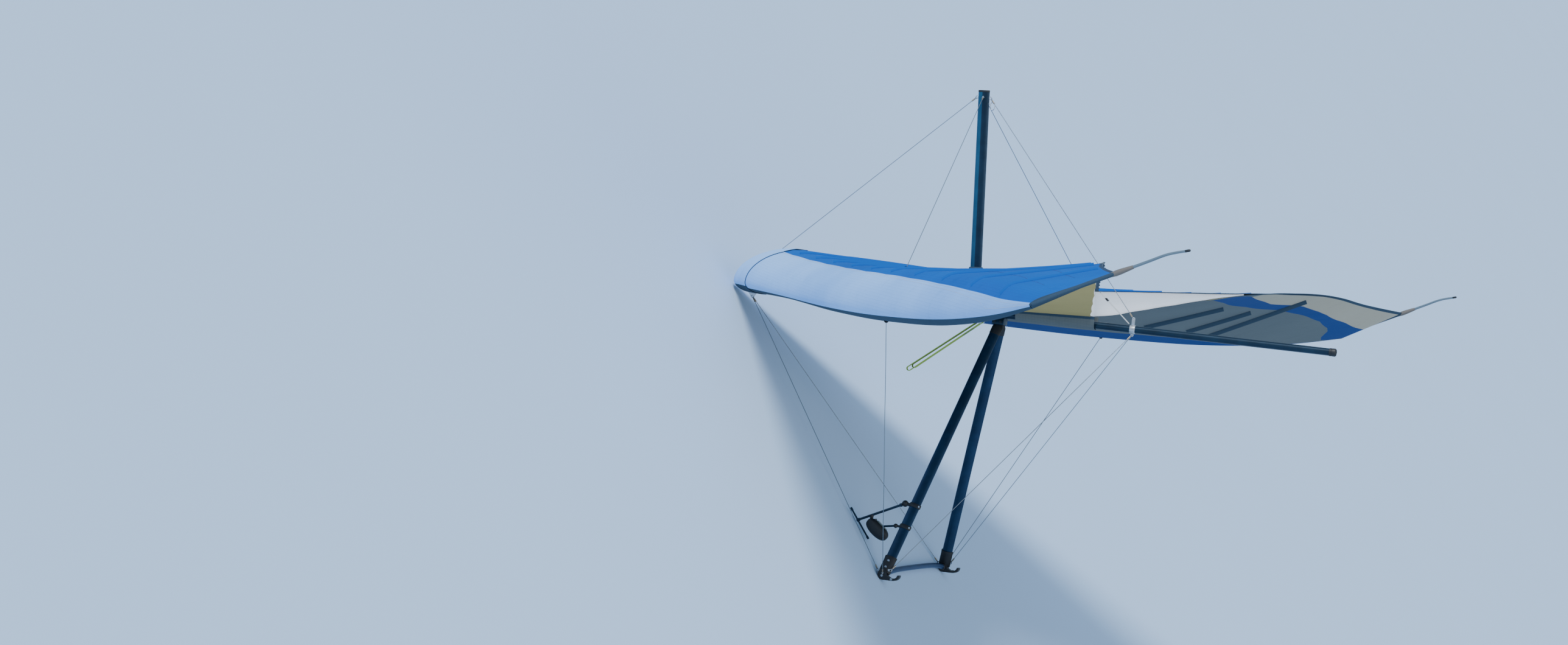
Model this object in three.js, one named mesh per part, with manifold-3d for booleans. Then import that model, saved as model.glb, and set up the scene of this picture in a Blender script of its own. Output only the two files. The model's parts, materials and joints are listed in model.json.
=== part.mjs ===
// A flex-wing hang glider with a kingpost, parked nose-down on its nose and the corners of its control bar.
//
// Everything is first placed in the glider's own frame, in millimetres: x to the pilot's left, y aft from
// the nose and z up from the middle of the keel tube. The whole glider is then tipped onto its nose and its
// control bar, and moved so that the middle of its box stands on the origin.

import * as THREE from "three";
import * as BufferGeometryUtils from "three/addons/utils/BufferGeometryUtils.js";
import Module from "manifold-3d";

const wasm = await Module();
wasm.setup();

const GAP = 0.3; // between two pieces that touch

// Driving dimensions

const KEEL = { radius: 21, front: 34, rear: 3552, capDepth: 40 };
const KINGPOST = {
  foot: new THREE.Vector3(0, 1438, 62),
  head: new THREE.Vector3(0, 1356, 1258),
  chord: 66,
  thickness: 28,
};
const CAP_HEIGHT = 12;
const CROWN_EYES_BELOW_HEAD = 30;
const DOWNTUBE = { chord: 60, thickness: 26, topInset: 34, cornerClear: 36 };
const APEX = { y: 1600, bottom: -60, halfWidth: 52, halfLength: 34 };
const CORNER = {
  x: 728,
  y: 1266,
  z: -1523,
  radius: 30,
  halfWidth: 24,
  socketLength: 112,
  socketWall: 5,
  skidReach: 96,
  skidRise: 34,
};
const BASEBAR_RADIUS = 15;
const BASEBAR_DEPTH = 12; // how far it goes into each corner
const BASEBAR_RISE = 20; // how far it is bowed up between them
const BASEBAR_BOW = 0.978; // the share of its length that is bowed
const NOSE = { y: 30, z: -5, radius: 30, depth: 150 };
const STAY_RADIUS = 2;
const EYE_RADIUS = 8;
const NOSE_EYE = new THREE.Vector3(0, 118, -60);
const NOSE_WIRE_FOOT = new THREE.Vector3(0, 60, 40); // where the top front stay is held, inside the nose
const REAR_TANG = { y: 2376, halfLength: 16, wall: 4, tabHeight: 40, tabLength: 18, tabWidth: 8 };
const JUNCTION = new THREE.Vector3(2831, 1640, -40); // where the side stays are held, inside the leading edge
const HANG = {
  y: 1490,
  z: -54,
  pinRadius: 5,
  cheekInner: 32,
  cheekThickness: 4,
  saddleHeight: 12,
  halfLength: 25,
};
const WEBBING = {
  width: 25,
  thickness: 4,
  pinClearance: 1,
  footRadius: 10,
  fromMiddle: 14.5,
  mainLength: 470,
  backupLength: 500,
};
const STRIP_HALF = 60; // half width of the strip of sail over the keel
const SHEET = 10; // thickness of the single-surface sail
const POCKET_BOTTOM = -28; // the lowest of the pocket round the keel at its rear end
const WAND = { radius: 8, beyondTip: [[3357, 352], [3450, 397], [3549, 426]] }; // y and z behind the sail
// The instrument's points as it would sit at the foot of the left downtube. It is clamped higher by raise, so
// that it clears the floor when the glider is parked.
const INSTRUMENT = {
  raise: 158,
  upperClamp: 287, // the clamps' distances along the downtube from the corner's centre
  lowerClamp: 148,
  clampLength: 24,
  clampWall: 5,
  ball: [596, 1264, -1262],
  ballRadius: 19,
  armEnd: [596, 1001, -1387],
  armRadius: 7,
  bar: [[596, 955, -1327], [596, 1070, -1482]],
  barRadius: 5,
  knobRadius: 7,
  pod: [606, 1121, -1427],
  podHalfLength: 76,
  podRadius: 41,
  podTilt: (-38 * Math.PI) / 180,
  stem: [[600, 1076, -1390], [596, 1080, -1349]],
  stemRadius: 9,
  boss: [665, 1240, -1390],
  bossRadius: 13,
  rodEnd: [612, 1141, -1407],
  rodRadius: 6,
};

// Wing sections from the root to the tip. span is the distance from the middle, and lead and trail are the y
// and z of the two edges. crest holds the arch of the top surface over the chord, and how much of it the rear
// half gives up. low holds the heights of the lower surface at its front and at its rear edge, and
// that edge's share of the chord. seam is the depth of the leading-edge panel. The lower surface ends free
// inboard, and meets the trailing edge outboard.
const STATIONS = [
  { span: 60, lead: [34, 25], trail: [2171, 196], crest: [188, 0.3], low: [-35, 34, 0.95], seam: 219 },
  { span: 900, lead: [514, -8], trail: [2346, 232], crest: [174, 0.7], low: [-45, 125, 0.95], seam: 189 },
  { span: 1800, lead: [1027, -28], trail: [2535, 268], crest: [170, 0.75], low: [-78, 224, 0.95], seam: 148 },
  { span: 2831, lead: [1616, -25], trail: [2751, 312], crest: [166, 0.2], low: [-88, 298, 0.985], seam: 92 },
  { span: 3700, lead: [2160, 5], trail: [2933, 342], crest: [138, 0], low: [-62, 332, 1], seam: 47 },
  { span: 4350, lead: [2568, 52], trail: [3080, 310], crest: [86, 0], low: [4, 300, 1], seam: 30 },
  { span: 4736, lead: [2810, 90], trail: [3212, 286], crest: [14, 0], low: [70, 276, 1], seam: 24 },
].map(({ span, lead, trail, crest, low, seam }) => ({
  span,
  leadY: lead[0],
  leadZ: lead[1],
  trailY: trail[0],
  trailZ: trail[1],
  crest: crest[0],
  reflex: crest[1],
  belly: low[0],
  rearZ: low[1],
  rearU: low[2],
  seam,
}));
const TIP_STATIONS = 2; // the last of them, which the tip panel spans
const CREST_AT = 0.15;
const BELLY_AT = 0.05;
const TOP_FALL = 1.2; // how the top falls behind its crest

const TRIANGLE_SIDES = { tube: 20, stay: 6 }; // sides of a round section

// Finishes

const FINISH = {
  whiteCloth: { color: 0xa9c8e6, roughness: 0.75, metalness: 0 },
  blueCloth: { color: 0x1f6db8, roughness: 0.7, metalness: 0 },
  clearCloth: { color: 0xd6e5fd, roughness: 0.7, metalness: 0 },
  tanCloth: { color: 0xa8a293, roughness: 0.8, metalness: 0 },
  darkTube: { color: 0x17374a, roughness: 0.35, metalness: 0.6 },
  blackPlastic: { color: 0x15181b, roughness: 0.5, metalness: 0 },
  steel: { color: 0xb8bcc0, roughness: 0.35, metalness: 0.9 },
  webbing: { color: 0x95ab45, roughness: 0.9, metalness: 0 },
  wandRod: { color: 0x5c6f7c, roughness: 0.45, metalness: 0.1 },
};

const glider = new THREE.Group();

function finish(name) {
  return new THREE.MeshStandardMaterial(FINISH[name]);
}

function addPiece(name, geometry, finishName, parent = glider) {
  const mesh = new THREE.Mesh(geometry, finish(finishName));
  mesh.name = name;
  parent.add(mesh);
  return mesh;
}

// Solids and their cuts

function toSolid(geometry) {
  const bare = geometry.clone();
  bare.deleteAttribute("normal");
  bare.deleteAttribute("uv");
  const merged = BufferGeometryUtils.mergeVertices(bare, 1e-4);
  return new wasm.Manifold(
    new wasm.Mesh({
      numProp: 3,
      vertProperties: new Float32Array(merged.attributes.position.array),
      triVerts: new Uint32Array(merged.index.array),
    }),
  );
}

function toGeometry(solid) {
  const mesh = solid.getMesh();
  const geometry = new THREE.BufferGeometry();
  geometry.setAttribute("position", new THREE.BufferAttribute(new Float32Array(mesh.vertProperties), 3));
  geometry.setIndex(new THREE.BufferAttribute(new Uint32Array(mesh.triVerts), 1));
  return geometry;
}

function join(...geometries) {
  return toGeometry(geometries.map(toSolid).reduce((whole, piece) => whole.add(piece)));
}

function cut(body, ...tools) {
  return toGeometry(tools.map(toSolid).reduce((whole, tool) => whole.subtract(tool), toSolid(body)));
}

function box(sizeX, sizeY, sizeZ, x, y, z) {
  return new THREE.BoxGeometry(sizeX, sizeY, sizeZ).translate(x, y, z);
}

function ball(centre, radius) {
  return new THREE.SphereGeometry(radius, 8, 6).translate(centre.x, centre.y, centre.z);
}

// A round bar from one point to another.
function roundBar(from, to, radius, sides) {
  const along = to.clone().sub(from);
  const upright = new THREE.Vector3(0, 1, 0);
  const turn = new THREE.Quaternion().setFromUnitVectors(upright, along.clone().normalize());
  const middle = from.clone().add(to).multiplyScalar(0.5);
  return new THREE.CylinderGeometry(radius, radius, along.length(), sides)
    .applyQuaternion(turn)
    .translate(middle.x, middle.y, middle.z);
}

// A tube of streamlined section, its chord fore and aft. around makes it larger by that on every side.
function streamlinedBar(from, to, size, around = 0) {
  const front = -size.chord / 2 - around;
  const rear = size.chord / 2 + around;
  const half = size.thickness / 2 + around;
  const tail = 1.5 + around;
  const outline = new THREE.Shape();
  outline.moveTo(0, front);
  outline.bezierCurveTo(half, front, half, front * 0.28, half, front * 0.16);
  outline.quadraticCurveTo(half * 0.84, rear * 0.56, tail, rear);
  outline.lineTo(-tail, rear);
  outline.quadraticCurveTo(-half * 0.84, rear * 0.56, -half, front * 0.16);
  outline.bezierCurveTo(-half, front * 0.28, -half, front, 0, front);
  const along = to.clone().sub(from);
  const length = along.length();
  const zAxis = along.clone().normalize();
  const xAxis = new THREE.Vector3(0, 1, 0).cross(zAxis).normalize();
  const yAxis = zAxis.clone().cross(xAxis);
  const placed = new THREE.Matrix4().makeBasis(xAxis, yAxis, zAxis).setPosition(from);
  return new THREE.ExtrudeGeometry(outline, { depth: length, bevelEnabled: false, curveSegments: 4 })
    .applyMatrix4(placed);
}

// An outline in the y-z plane, given as a Shape of (y, z), made into a plate along x.
function plateAcross(outline, fromX, toX, curveSegments = 6) {
  const turn = new THREE.Matrix4().makeBasis(
    new THREE.Vector3(0, 1, 0),
    new THREE.Vector3(0, 0, 1),
    new THREE.Vector3(1, 0, 0),
  );
  return new THREE.ExtrudeGeometry(outline, { depth: toX - fromX, bevelEnabled: false, curveSegments })
    .applyMatrix4(turn)
    .translate(fromX, 0, 0);
}

// A closed solid through rings of points that have the same count.
function loft(rings) {
  const count = rings[0].length;
  const points = rings.flat().flatMap((point) => [point.x, point.y, point.z]);
  const faces = [];
  for (let ring = 0; ring + 1 < rings.length; ring += 1) {
    for (let k = 0; k < count; k += 1) {
      const a = ring * count + k;
      const b = ring * count + ((k + 1) % count);
      faces.push(a, b, b + count, a, b + count, a + count);
    }
  }
  const capStart = (ring) => ring * count;
  for (const ring of [0, rings.length - 1]) {
    const flat = rings[ring].map((point) => new THREE.Vector2(point.y, point.z));
    const turned = THREE.ShapeUtils.area(flat) < 0;
    for (const [i, j, k] of THREE.ShapeUtils.triangulateShape(flat, [])) {
      const same = ring === 0 ? !turned : turned;
      const start = capStart(ring);
      faces.push(start + i, start + (same ? k : j), start + (same ? j : k));
    }
  }
  const geometry = new THREE.BufferGeometry();
  geometry.setAttribute("position", new THREE.Float32BufferAttribute(points, 3));
  geometry.setIndex(faces);
  return facingOut(geometry);
}

function facingOut(geometry) {
  const position = geometry.attributes.position;
  const index = geometry.index;
  const corner = [new THREE.Vector3(), new THREE.Vector3(), new THREE.Vector3()];
  let volume = 0;
  for (let face = 0; face < index.count; face += 3) {
    corner.forEach((point, k) => point.fromBufferAttribute(position, index.getX(face + k)));
    volume += corner[0].dot(corner[1].cross(corner[2]));
  }
  if (volume < 0) {
    for (let face = 0; face < index.count; face += 3) {
      const second = index.getX(face + 1);
      index.setX(face + 1, index.getX(face + 2));
      index.setX(face + 2, second);
    }
  }
  return geometry;
}

function mirrored(geometry) {
  return facingOut(geometry.clone().scale(-1, 1, 1));
}

// The wing's surfaces

function chordLine(station, u) {
  return station.leadZ + (station.trailZ - station.leadZ) * u;
}

function topZ(station, u) {
  const behind = Math.max(0, (u - CREST_AT) / (1 - CREST_AT));
  const arch = u < CREST_AT
    ? Math.sqrt(1 - ((CREST_AT - u) / CREST_AT) ** 2)
    : 1 - behind ** TOP_FALL - station.reflex * behind ** 2 * (1 - behind);
  return chordLine(station, u) + station.crest * arch;
}

function bellyZ(station, u) {
  if (u < BELLY_AT) {
    const fall = Math.sqrt(1 - ((BELLY_AT - u) / BELLY_AT) ** 2);
    return station.leadZ + (station.belly - station.leadZ) * fall;
  }
  const along = (u - BELLY_AT) / (station.rearU - BELLY_AT);
  return station.belly + (station.rearZ - station.belly) * along;
}

function chord(station) {
  return station.trailY - station.leadY;
}

function sectionPoint(station, u, z, shiftY = 0) {
  return new THREE.Vector3(station.span, station.leadY + chord(station) * u + shiftY, z);
}

function seamU(station) {
  return station.seam / chord(station);
}

function steps(from, to, count) {
  return Array.from({ length: count + 1 }, (unused, k) => from + ((to - from) * k) / count);
}

// The nose of the section: round the leading edge from the seam on top to the seam underneath.
function leadingRing(station) {
  const seam = seamU(station);
  const top = [1, 0.72, 0.45, 0.24, 0.1, 0.025].map((share) => share * seam);
  const below = [BELLY_AT * 0.3, BELLY_AT, seam].filter((u, k) => k < 2 || u > BELLY_AT);
  return [
    ...top.map((u) => sectionPoint(station, u, topZ(station, u), -GAP / 2)),
    sectionPoint(station, 0, station.leadZ),
    ...below.map((u) => sectionPoint(station, u, bellyZ(station, u), -GAP / 2)),
  ];
}

// The double-surface part behind the seam.
function mainRing(station) {
  const seam = seamU(station);
  const top = [seam, CREST_AT, 0.3, 0.5, 0.72, station.rearU];
  const below = steps(station.rearU, seam, 2);
  return [
    ...top.map((u) => sectionPoint(station, u, topZ(station, u), u === seam ? GAP / 2 : 0)),
    ...below.map((u) => sectionPoint(station, u, bellyZ(station, u), u === seam ? GAP / 2 : 0)),
  ];
}

// The single-surface part behind the lower surface's rear edge.
function trailingRing(station) {
  const share = steps(station.rearU, 1, 3);
  const top = share.map((u) => sectionPoint(station, u, topZ(station, u), u === station.rearU ? GAP : 0));
  const below = top.map((point) => point.clone().setZ(point.z - SHEET)).reverse();
  return [...top, ...below];
}

// The whole section at the tip, closed at its trailing edge.
function tipRing(station) {
  const top = [0, 0.04, 0.15, 0.4, 0.7, 1];
  const below = [1, 0.5, 0.15, BELLY_AT];
  return [
    ...top.map((u) => sectionPoint(station, u, topZ(station, u))),
    ...below.map((u) => sectionPoint(station, u, bellyZ(station, u))),
  ];
}

const inner = STATIONS.slice(0, STATIONS.length - TIP_STATIONS + 1);
const outer = STATIONS.slice(STATIONS.length - TIP_STATIONS);
inner[0] = { ...inner[0], span: STRIP_HALF + GAP };
outer[0] = { ...outer[0], span: outer[0].span + GAP };

const sailPieces = {
  leading_edge_panel: [loft(inner.map(leadingRing)), "whiteCloth"],
  main_panel: [loft(inner.map(mainRing)), "blueCloth"],
  trailing_panel: [loft(inner.filter((station) => station.rearU < 1).map(trailingRing)), "clearCloth"],
  tip_panel: [loft(outer.map(tipRing)), "tanCloth"],
};
for (const [name, [geometry, finishName]] of Object.entries(sailPieces)) {
  addPiece(`${name}_left`, geometry, finishName);
  addPiece(`${name}_right`, mirrored(geometry), finishName);
}

// The keel and its ends

const keelRear = KEEL.rear - KEEL.capDepth;
addPiece(
  "keel_tube",
  roundBar(
    new THREE.Vector3(0, KEEL.front, 0),
    new THREE.Vector3(0, keelRear - GAP, 0),
    KEEL.radius,
    TRIANGLE_SIDES.tube,
  ),
  "darkTube",
);
addPiece(
  "keel_end_cap",
  roundBar(
    new THREE.Vector3(0, keelRear, 0),
    new THREE.Vector3(0, KEEL.rear, 0),
    KEEL.radius + 2,
    TRIANGLE_SIDES.tube,
  ),
  "blackPlastic",
);

// The strip of sail over the keel, from behind the nose cone to the keel pocket's end

const root = STATIONS[0];
const stripStart = NOSE.depth;
const stripEndU = 0.985;
const uOf = (y) => (y - root.leadY) / chord(root);

function stripOutline() {
  const outline = new THREE.Shape();
  const startU = uOf(stripStart);
  outline.moveTo(stripStart + GAP, bellyZ(root, startU));
  for (const u of steps(startU, stripEndU, 9)) {
    outline.lineTo(root.leadY + chord(root) * u + (u === startU ? GAP : 0), topZ(root, u));
  }
  outline.lineTo(root.leadY + chord(root) * stripEndU, POCKET_BOTTOM);
  return outline;
}

const keelTunnel = roundBar(
  new THREE.Vector3(0, -50, 0),
  new THREE.Vector3(0, 2400, 0),
  KEEL.radius + 2 * GAP,
  TRIANGLE_SIDES.tube,
);
const bracketOpening = box(2 * STRIP_HALF + 20, 300, 120, 0, 1545, KEEL.radius + 6 - 60);
const kingpostHole = streamlinedBar(
  new THREE.Vector3(0, KINGPOST.foot.y + 6, -30),
  KINGPOST.head,
  KINGPOST,
  3,
);
const footHole = box(76, 132, 90, 0, KINGPOST.foot.y, 40);
addPiece(
  "keel_pocket",
  cut(
    plateAcross(stripOutline(), -STRIP_HALF, STRIP_HALF),
    keelTunnel,
    bracketOpening,
    kingpostHole,
    footHole,
  ),
  "blueCloth",
);

// The nose: a cone of cloth in front of the strip, and the plate that the lower front stays hang from

function noseOutline() {
  const outline = new THREE.Shape();
  const endU = uOf(stripStart);
  outline.moveTo(stripStart, bellyZ(root, endU));
  outline.lineTo(NOSE.y, NOSE.z - NOSE.radius);
  for (const angle of steps(-90, -180, 6).map((turn) => (turn * Math.PI) / 180)) {
    outline.lineTo(NOSE.y + NOSE.radius * Math.cos(angle), NOSE.z + NOSE.radius * Math.sin(angle));
  }
  for (const u of [0.004, 0.018, 0.036, endU]) {
    outline.lineTo(root.leadY + chord(root) * u - (u === endU ? 0 : 18), topZ(root, u));
  }
  return outline;
}

const plateOutline = new THREE.Shape();
plateOutline.moveTo(84, -KEEL.radius - GAP);
plateOutline.lineTo(148, -KEEL.radius - GAP);
plateOutline.lineTo(NOSE_EYE.y + 8, NOSE_EYE.z);
plateOutline.lineTo(NOSE_EYE.y - 8, NOSE_EYE.z);
addPiece(
  "nose_tang",
  join(plateAcross(plateOutline, -3, 3), ball(NOSE_EYE, EYE_RADIUS)),
  "steel",
);
addPiece(
  "nose_cone",
  cut(
    plateAcross(noseOutline(), -STRIP_HALF, STRIP_HALF),
    keelTunnel,
    box(7, 80, 60, 0, 116, -45),
  ),
  "whiteCloth",
);

// The kingpost

const kingpostAxis = KINGPOST.head.clone().sub(KINGPOST.foot).normalize();
addPiece(
  "kingpost_base",
  cut(
    box(44, 84, 64, 0, KINGPOST.foot.y, 30),
    roundBar(
      new THREE.Vector3(0, KINGPOST.foot.y - 60, 0),
      new THREE.Vector3(0, KINGPOST.foot.y + 60, 0),
      KEEL.radius + GAP,
      TRIANGLE_SIDES.tube,
    ),
    box(60, 100, 60, 0, KINGPOST.foot.y, -30),
  ),
  "steel",
);
const capFoot = KINGPOST.head.clone().addScaledVector(kingpostAxis, GAP);
const capHead = capFoot.clone().addScaledVector(kingpostAxis, CAP_HEIGHT);
addPiece("kingpost_cap", streamlinedBar(capFoot, capHead, KINGPOST), "blackPlastic");

// The eyes on the four faces of its head, which the top stays hang from
const crown = KINGPOST.head.clone().addScaledVector(kingpostAxis, -CROWN_EYES_BELOW_HEAD);
const crownEyes = {
  front: crown.clone().add(new THREE.Vector3(0, -KINGPOST.chord / 2 - EYE_RADIUS + 2, 0)),
  rear: crown.clone().add(new THREE.Vector3(0, KINGPOST.chord / 2 + EYE_RADIUS - 2, 0)),
  side: crown.clone().add(new THREE.Vector3(KINGPOST.thickness / 2 + EYE_RADIUS - 2, 0, 0)),
};
addPiece(
  "kingpost",
  join(
    streamlinedBar(KINGPOST.foot.clone().addScaledVector(kingpostAxis, 3), KINGPOST.head, KINGPOST),
    ball(crownEyes.front, EYE_RADIUS),
    ball(crownEyes.rear, EYE_RADIUS),
    ball(crownEyes.side, EYE_RADIUS),
    ball(crownEyes.side.clone().multiply(new THREE.Vector3(-1, 1, 1)), EYE_RADIUS),
  ),
  "darkTube",
);

// The control frame

const cornerPoint = (side) => new THREE.Vector3(side * CORNER.x, CORNER.y, CORNER.z);
const tubeRun = new THREE.Vector3(
  CORNER.x - DOWNTUBE.topInset,
  APEX.y - CORNER.y,
  APEX.bottom - CORNER.z,
).normalize();
const apexDrop = GAP + (DOWNTUBE.thickness * tubeRun.x + DOWNTUBE.chord * tubeRun.y) / 2;
const apexPoint = (side) => new THREE.Vector3(side * DOWNTUBE.topInset, APEX.y, APEX.bottom - apexDrop);
const apexHeight = -KEEL.radius - APEX.bottom + 8;
const apexBlock = box(
  2 * APEX.halfWidth,
  2 * APEX.halfLength,
  apexHeight,
  0,
  APEX.y,
  APEX.bottom + apexHeight / 2,
);
addPiece(
  "apex_bracket",
  cut(
    apexBlock,
    roundBar(
      new THREE.Vector3(0, APEX.y - 60, 0),
      new THREE.Vector3(0, APEX.y + 60, 0),
      KEEL.radius + GAP,
      TRIANGLE_SIDES.tube,
    ),
  ),
  "steel",
);

// The eyes on the front, the rear and the outer side of a corner, which the lower stays are held by
function cornerEyes(side) {
  return {
    front: new THREE.Vector3(side * CORNER.x, CORNER.y - CORNER.radius - 4, CORNER.z + 18),
    rear: new THREE.Vector3(side * CORNER.x, CORNER.y + CORNER.radius + 8, CORNER.z + 26),
    outer: new THREE.Vector3(side * (CORNER.x + CORNER.halfWidth + 4), CORNER.y, CORNER.z + 8),
  };
}

function cornerOutline() {
  const { y, z, radius, skidReach, skidRise } = CORNER;
  const outline = new THREE.Shape();
  outline.moveTo(y + radius * 0.4, z + radius * 0.92);
  for (const angle of steps(67, 270, 11).map((turn) => (turn * Math.PI) / 180)) {
    outline.lineTo(y + radius * Math.cos(angle), z + radius * Math.sin(angle));
  }
  outline.lineTo(y + skidReach * 0.55, z - radius);
  outline.quadraticCurveTo(y + skidReach, z - radius, y + skidReach, z - radius + skidRise);
  outline.lineTo(y + skidReach - 12, z - radius + skidRise);
  outline.quadraticCurveTo(y + skidReach - 14, z - radius + 12, y + skidReach * 0.5, z - radius + 12);
  outline.lineTo(y + radius, z - radius * 0.3);
  return outline;
}

for (const [side, name] of [[1, "left"], [-1, "right"]]) {
  const corner = cornerPoint(side);
  const innerFace = CORNER.x - CORNER.halfWidth;
  const outerFace = CORNER.x + CORNER.halfWidth;
  const [fromX, toX] = [side * innerFace, side * outerFace].sort((a, b) => a - b);
  const plate = plateAcross(cornerOutline(), fromX, toX, 4);
  const eyes = Object.values(cornerEyes(side)).map((eye) => ball(eye, EYE_RADIUS));
  const axis = apexPoint(side).sub(corner).normalize();
  const foot = corner.clone().addScaledVector(axis, DOWNTUBE.cornerClear);
  const socketTop = corner.clone().addScaledVector(axis, CORNER.socketLength);
  const socket = streamlinedBar(corner, socketTop, DOWNTUBE, CORNER.socketWall);
  const bore = streamlinedBar(foot.clone().addScaledVector(axis, -GAP), apexPoint(side), DOWNTUBE, GAP);
  const basebarBore = roundBar(
    new THREE.Vector3(0, CORNER.y, CORNER.z),
    new THREE.Vector3(side * (innerFace + BASEBAR_DEPTH + GAP), CORNER.y, CORNER.z),
    BASEBAR_RADIUS + GAP,
    TRIANGLE_SIDES.tube,
  );
  addPiece(`corner_${name}`, cut(join(plate, socket, ...eyes), bore, basebarBore), "blackPlastic");
  addPiece(`downtube_${name}`, streamlinedBar(foot, apexPoint(side), DOWNTUBE), "darkTube");
}
const basebarHalf = CORNER.x - CORNER.halfWidth + BASEBAR_DEPTH;

// A ring of the base bar, by its share of the half width from the middle.
function basebarRing(share) {
  const rise = BASEBAR_RISE * Math.max(0, 1 - Math.abs(share / BASEBAR_BOW) ** 4);
  return Array.from({ length: TRIANGLE_SIDES.tube }, (unused, k) => {
    const turn = (2 * Math.PI * k) / TRIANGLE_SIDES.tube;
    return new THREE.Vector3(
      share * basebarHalf,
      CORNER.y + BASEBAR_RADIUS * Math.cos(turn),
      CORNER.z + rise + BASEBAR_RADIUS * Math.sin(turn),
    );
  });
}

const BASEBAR_SHARES = [1, BASEBAR_BOW, 0.94, 0.88, 0.76, 0.6, 0.35];
addPiece(
  "basebar",
  loft([...BASEBAR_SHARES.map((share) => -share), 0, ...BASEBAR_SHARES.toReversed()].map(basebarRing)),
  "darkTube",
);

// The wands that spread the tips and reach out behind them

for (const [side, name] of [[1, "left"], [-1, "right"]]) {
  const tip = STATIONS.at(-1);
  const alongTip = [0.04, 0.5, 1].map((u) => [
    tip.leadY + chord(tip) * u,
    u === 1 ? tip.trailZ - SHEET / 2 : (topZ(tip, u) + bellyZ(tip, u)) / 2,
  ]);
  const wandX = side * (tip.span + GAP + WAND.radius);
  const path = new THREE.CatmullRomCurve3(
    [...alongTip, ...WAND.beyondTip].map(([y, z]) => new THREE.Vector3(wandX, y, z)),
  );
  const section = new THREE.Shape().absarc(0, 0, WAND.radius, 0, 2 * Math.PI);
  const rod = new THREE.ExtrudeGeometry(section, { steps: 16, curveSegments: 4, extrudePath: path });
  addPiece(`tip_wand_${name}`, rod, "wandRod");
}

// The clamp on the keel behind the sail that the rear stays hang from

const tangRadius = KEEL.radius + REAR_TANG.wall;
const rearTop = new THREE.Vector3(0, REAR_TANG.y, tangRadius + REAR_TANG.tabHeight - 6);
const rearFoot = new THREE.Vector3(0, REAR_TANG.y, -tangRadius - EYE_RADIUS + 3);
const tangEnds = [-1, 1].map((end) => new THREE.Vector3(0, REAR_TANG.y + end * REAR_TANG.halfLength, 0));
const keelBore = roundBar(
  new THREE.Vector3(0, REAR_TANG.y - 60, 0),
  new THREE.Vector3(0, REAR_TANG.y + 60, 0),
  KEEL.radius + GAP,
  TRIANGLE_SIDES.tube,
);
addPiece(
  "rear_tang",
  cut(
    join(
      roundBar(...tangEnds, tangRadius, TRIANGLE_SIDES.tube),
      box(
        REAR_TANG.tabWidth,
        REAR_TANG.tabLength,
        REAR_TANG.tabHeight,
        0,
        REAR_TANG.y,
        tangRadius + REAR_TANG.tabHeight / 2 - 3,
      ),
      ball(rearFoot, EYE_RADIUS),
      ball(rearTop, EYE_RADIUS),
    ),
    keelBore,
  ),
  "steel",
);

// The hang bracket under the keel, and the two loops of webbing on its pin

const cheekOuter = HANG.cheekInner + HANG.cheekThickness;
const saddleTop = -KEEL.radius + 8;
const saddleBottom = -KEEL.radius - HANG.saddleHeight + 2;
const cheekBottom = HANG.z - HANG.pinRadius - 6;
const saddle = box(
  2 * cheekOuter,
  2 * HANG.halfLength,
  saddleTop - saddleBottom,
  0,
  HANG.y,
  (saddleTop + saddleBottom) / 2,
);
const cheek = (side) => box(
  HANG.cheekThickness,
  2 * HANG.halfLength,
  saddleTop - cheekBottom,
  side * (HANG.cheekInner + HANG.cheekThickness / 2),
  HANG.y,
  (saddleTop + cheekBottom) / 2,
);
addPiece(
  "hang_bracket",
  cut(
    join(
      saddle,
      cheek(1),
      cheek(-1),
      roundBar(
        new THREE.Vector3(-cheekOuter + 1, HANG.y, HANG.z),
        new THREE.Vector3(cheekOuter - 1, HANG.y, HANG.z),
        HANG.pinRadius,
        12,
      ),
    ),
    roundBar(
      new THREE.Vector3(0, HANG.y - 60, 0),
      new THREE.Vector3(0, HANG.y + 60, 0),
      KEEL.radius + GAP,
      TRIANGLE_SIDES.tube,
    ),
  ),
  "steel",
);

// One loop hangs from the pin at its own origin, straight down.
function loopOutline(length) {
  const inner = HANG.pinRadius + WEBBING.pinClearance;
  const ring = (grow) => {
    const path = new THREE.Path();
    path.absarc(0, 0, inner + grow, 0, Math.PI);
    path.absarc(0, -length, WEBBING.footRadius + grow, Math.PI, 2 * Math.PI);
    path.closePath();
    return path;
  };
  const outline = new THREE.Shape(ring(WEBBING.thickness).getPoints(6));
  outline.holes.push(ring(0));
  return outline;
}

const pitch = Math.atan2(NOSE.z - CORNER.z, CORNER.y - NOSE.y);
const hangingDown = new THREE.Group();
hangingDown.position.set(0, HANG.y, HANG.z);
hangingDown.rotation.x = -pitch;
glider.add(hangingDown);
for (const [name, length, side] of [["main", WEBBING.mainLength, -1], ["backup", WEBBING.backupLength, 1]]) {
  const loopX = side * WEBBING.fromMiddle;
  const loop = plateAcross(loopOutline(length), loopX - WEBBING.width / 2, loopX + WEBBING.width / 2);
  addPiece(`${name}_hang_loop`, loop, "webbing", hangingDown);
}

// The instrument on the left downtube

const leftCorner = cornerPoint(1);
const upTube = apexPoint(1).sub(leftCorner).normalize();
const raised = ([x, y, z]) => new THREE.Vector3(x, y, z).addScaledVector(upTube, INSTRUMENT.raise);
const onTube = (distance) => leftCorner.clone().addScaledVector(upTube, distance + INSTRUMENT.raise);

function downtubeClamp(distance, ...extras) {
  const half = INSTRUMENT.clampLength / 2;
  const ends = [onTube(distance - half), onTube(distance + half)];
  const band = streamlinedBar(...ends, DOWNTUBE, INSTRUMENT.clampWall);
  const tube = streamlinedBar(leftCorner, apexPoint(1), DOWNTUBE, GAP);
  return cut(join(band, ...extras), tube);
}

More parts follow.
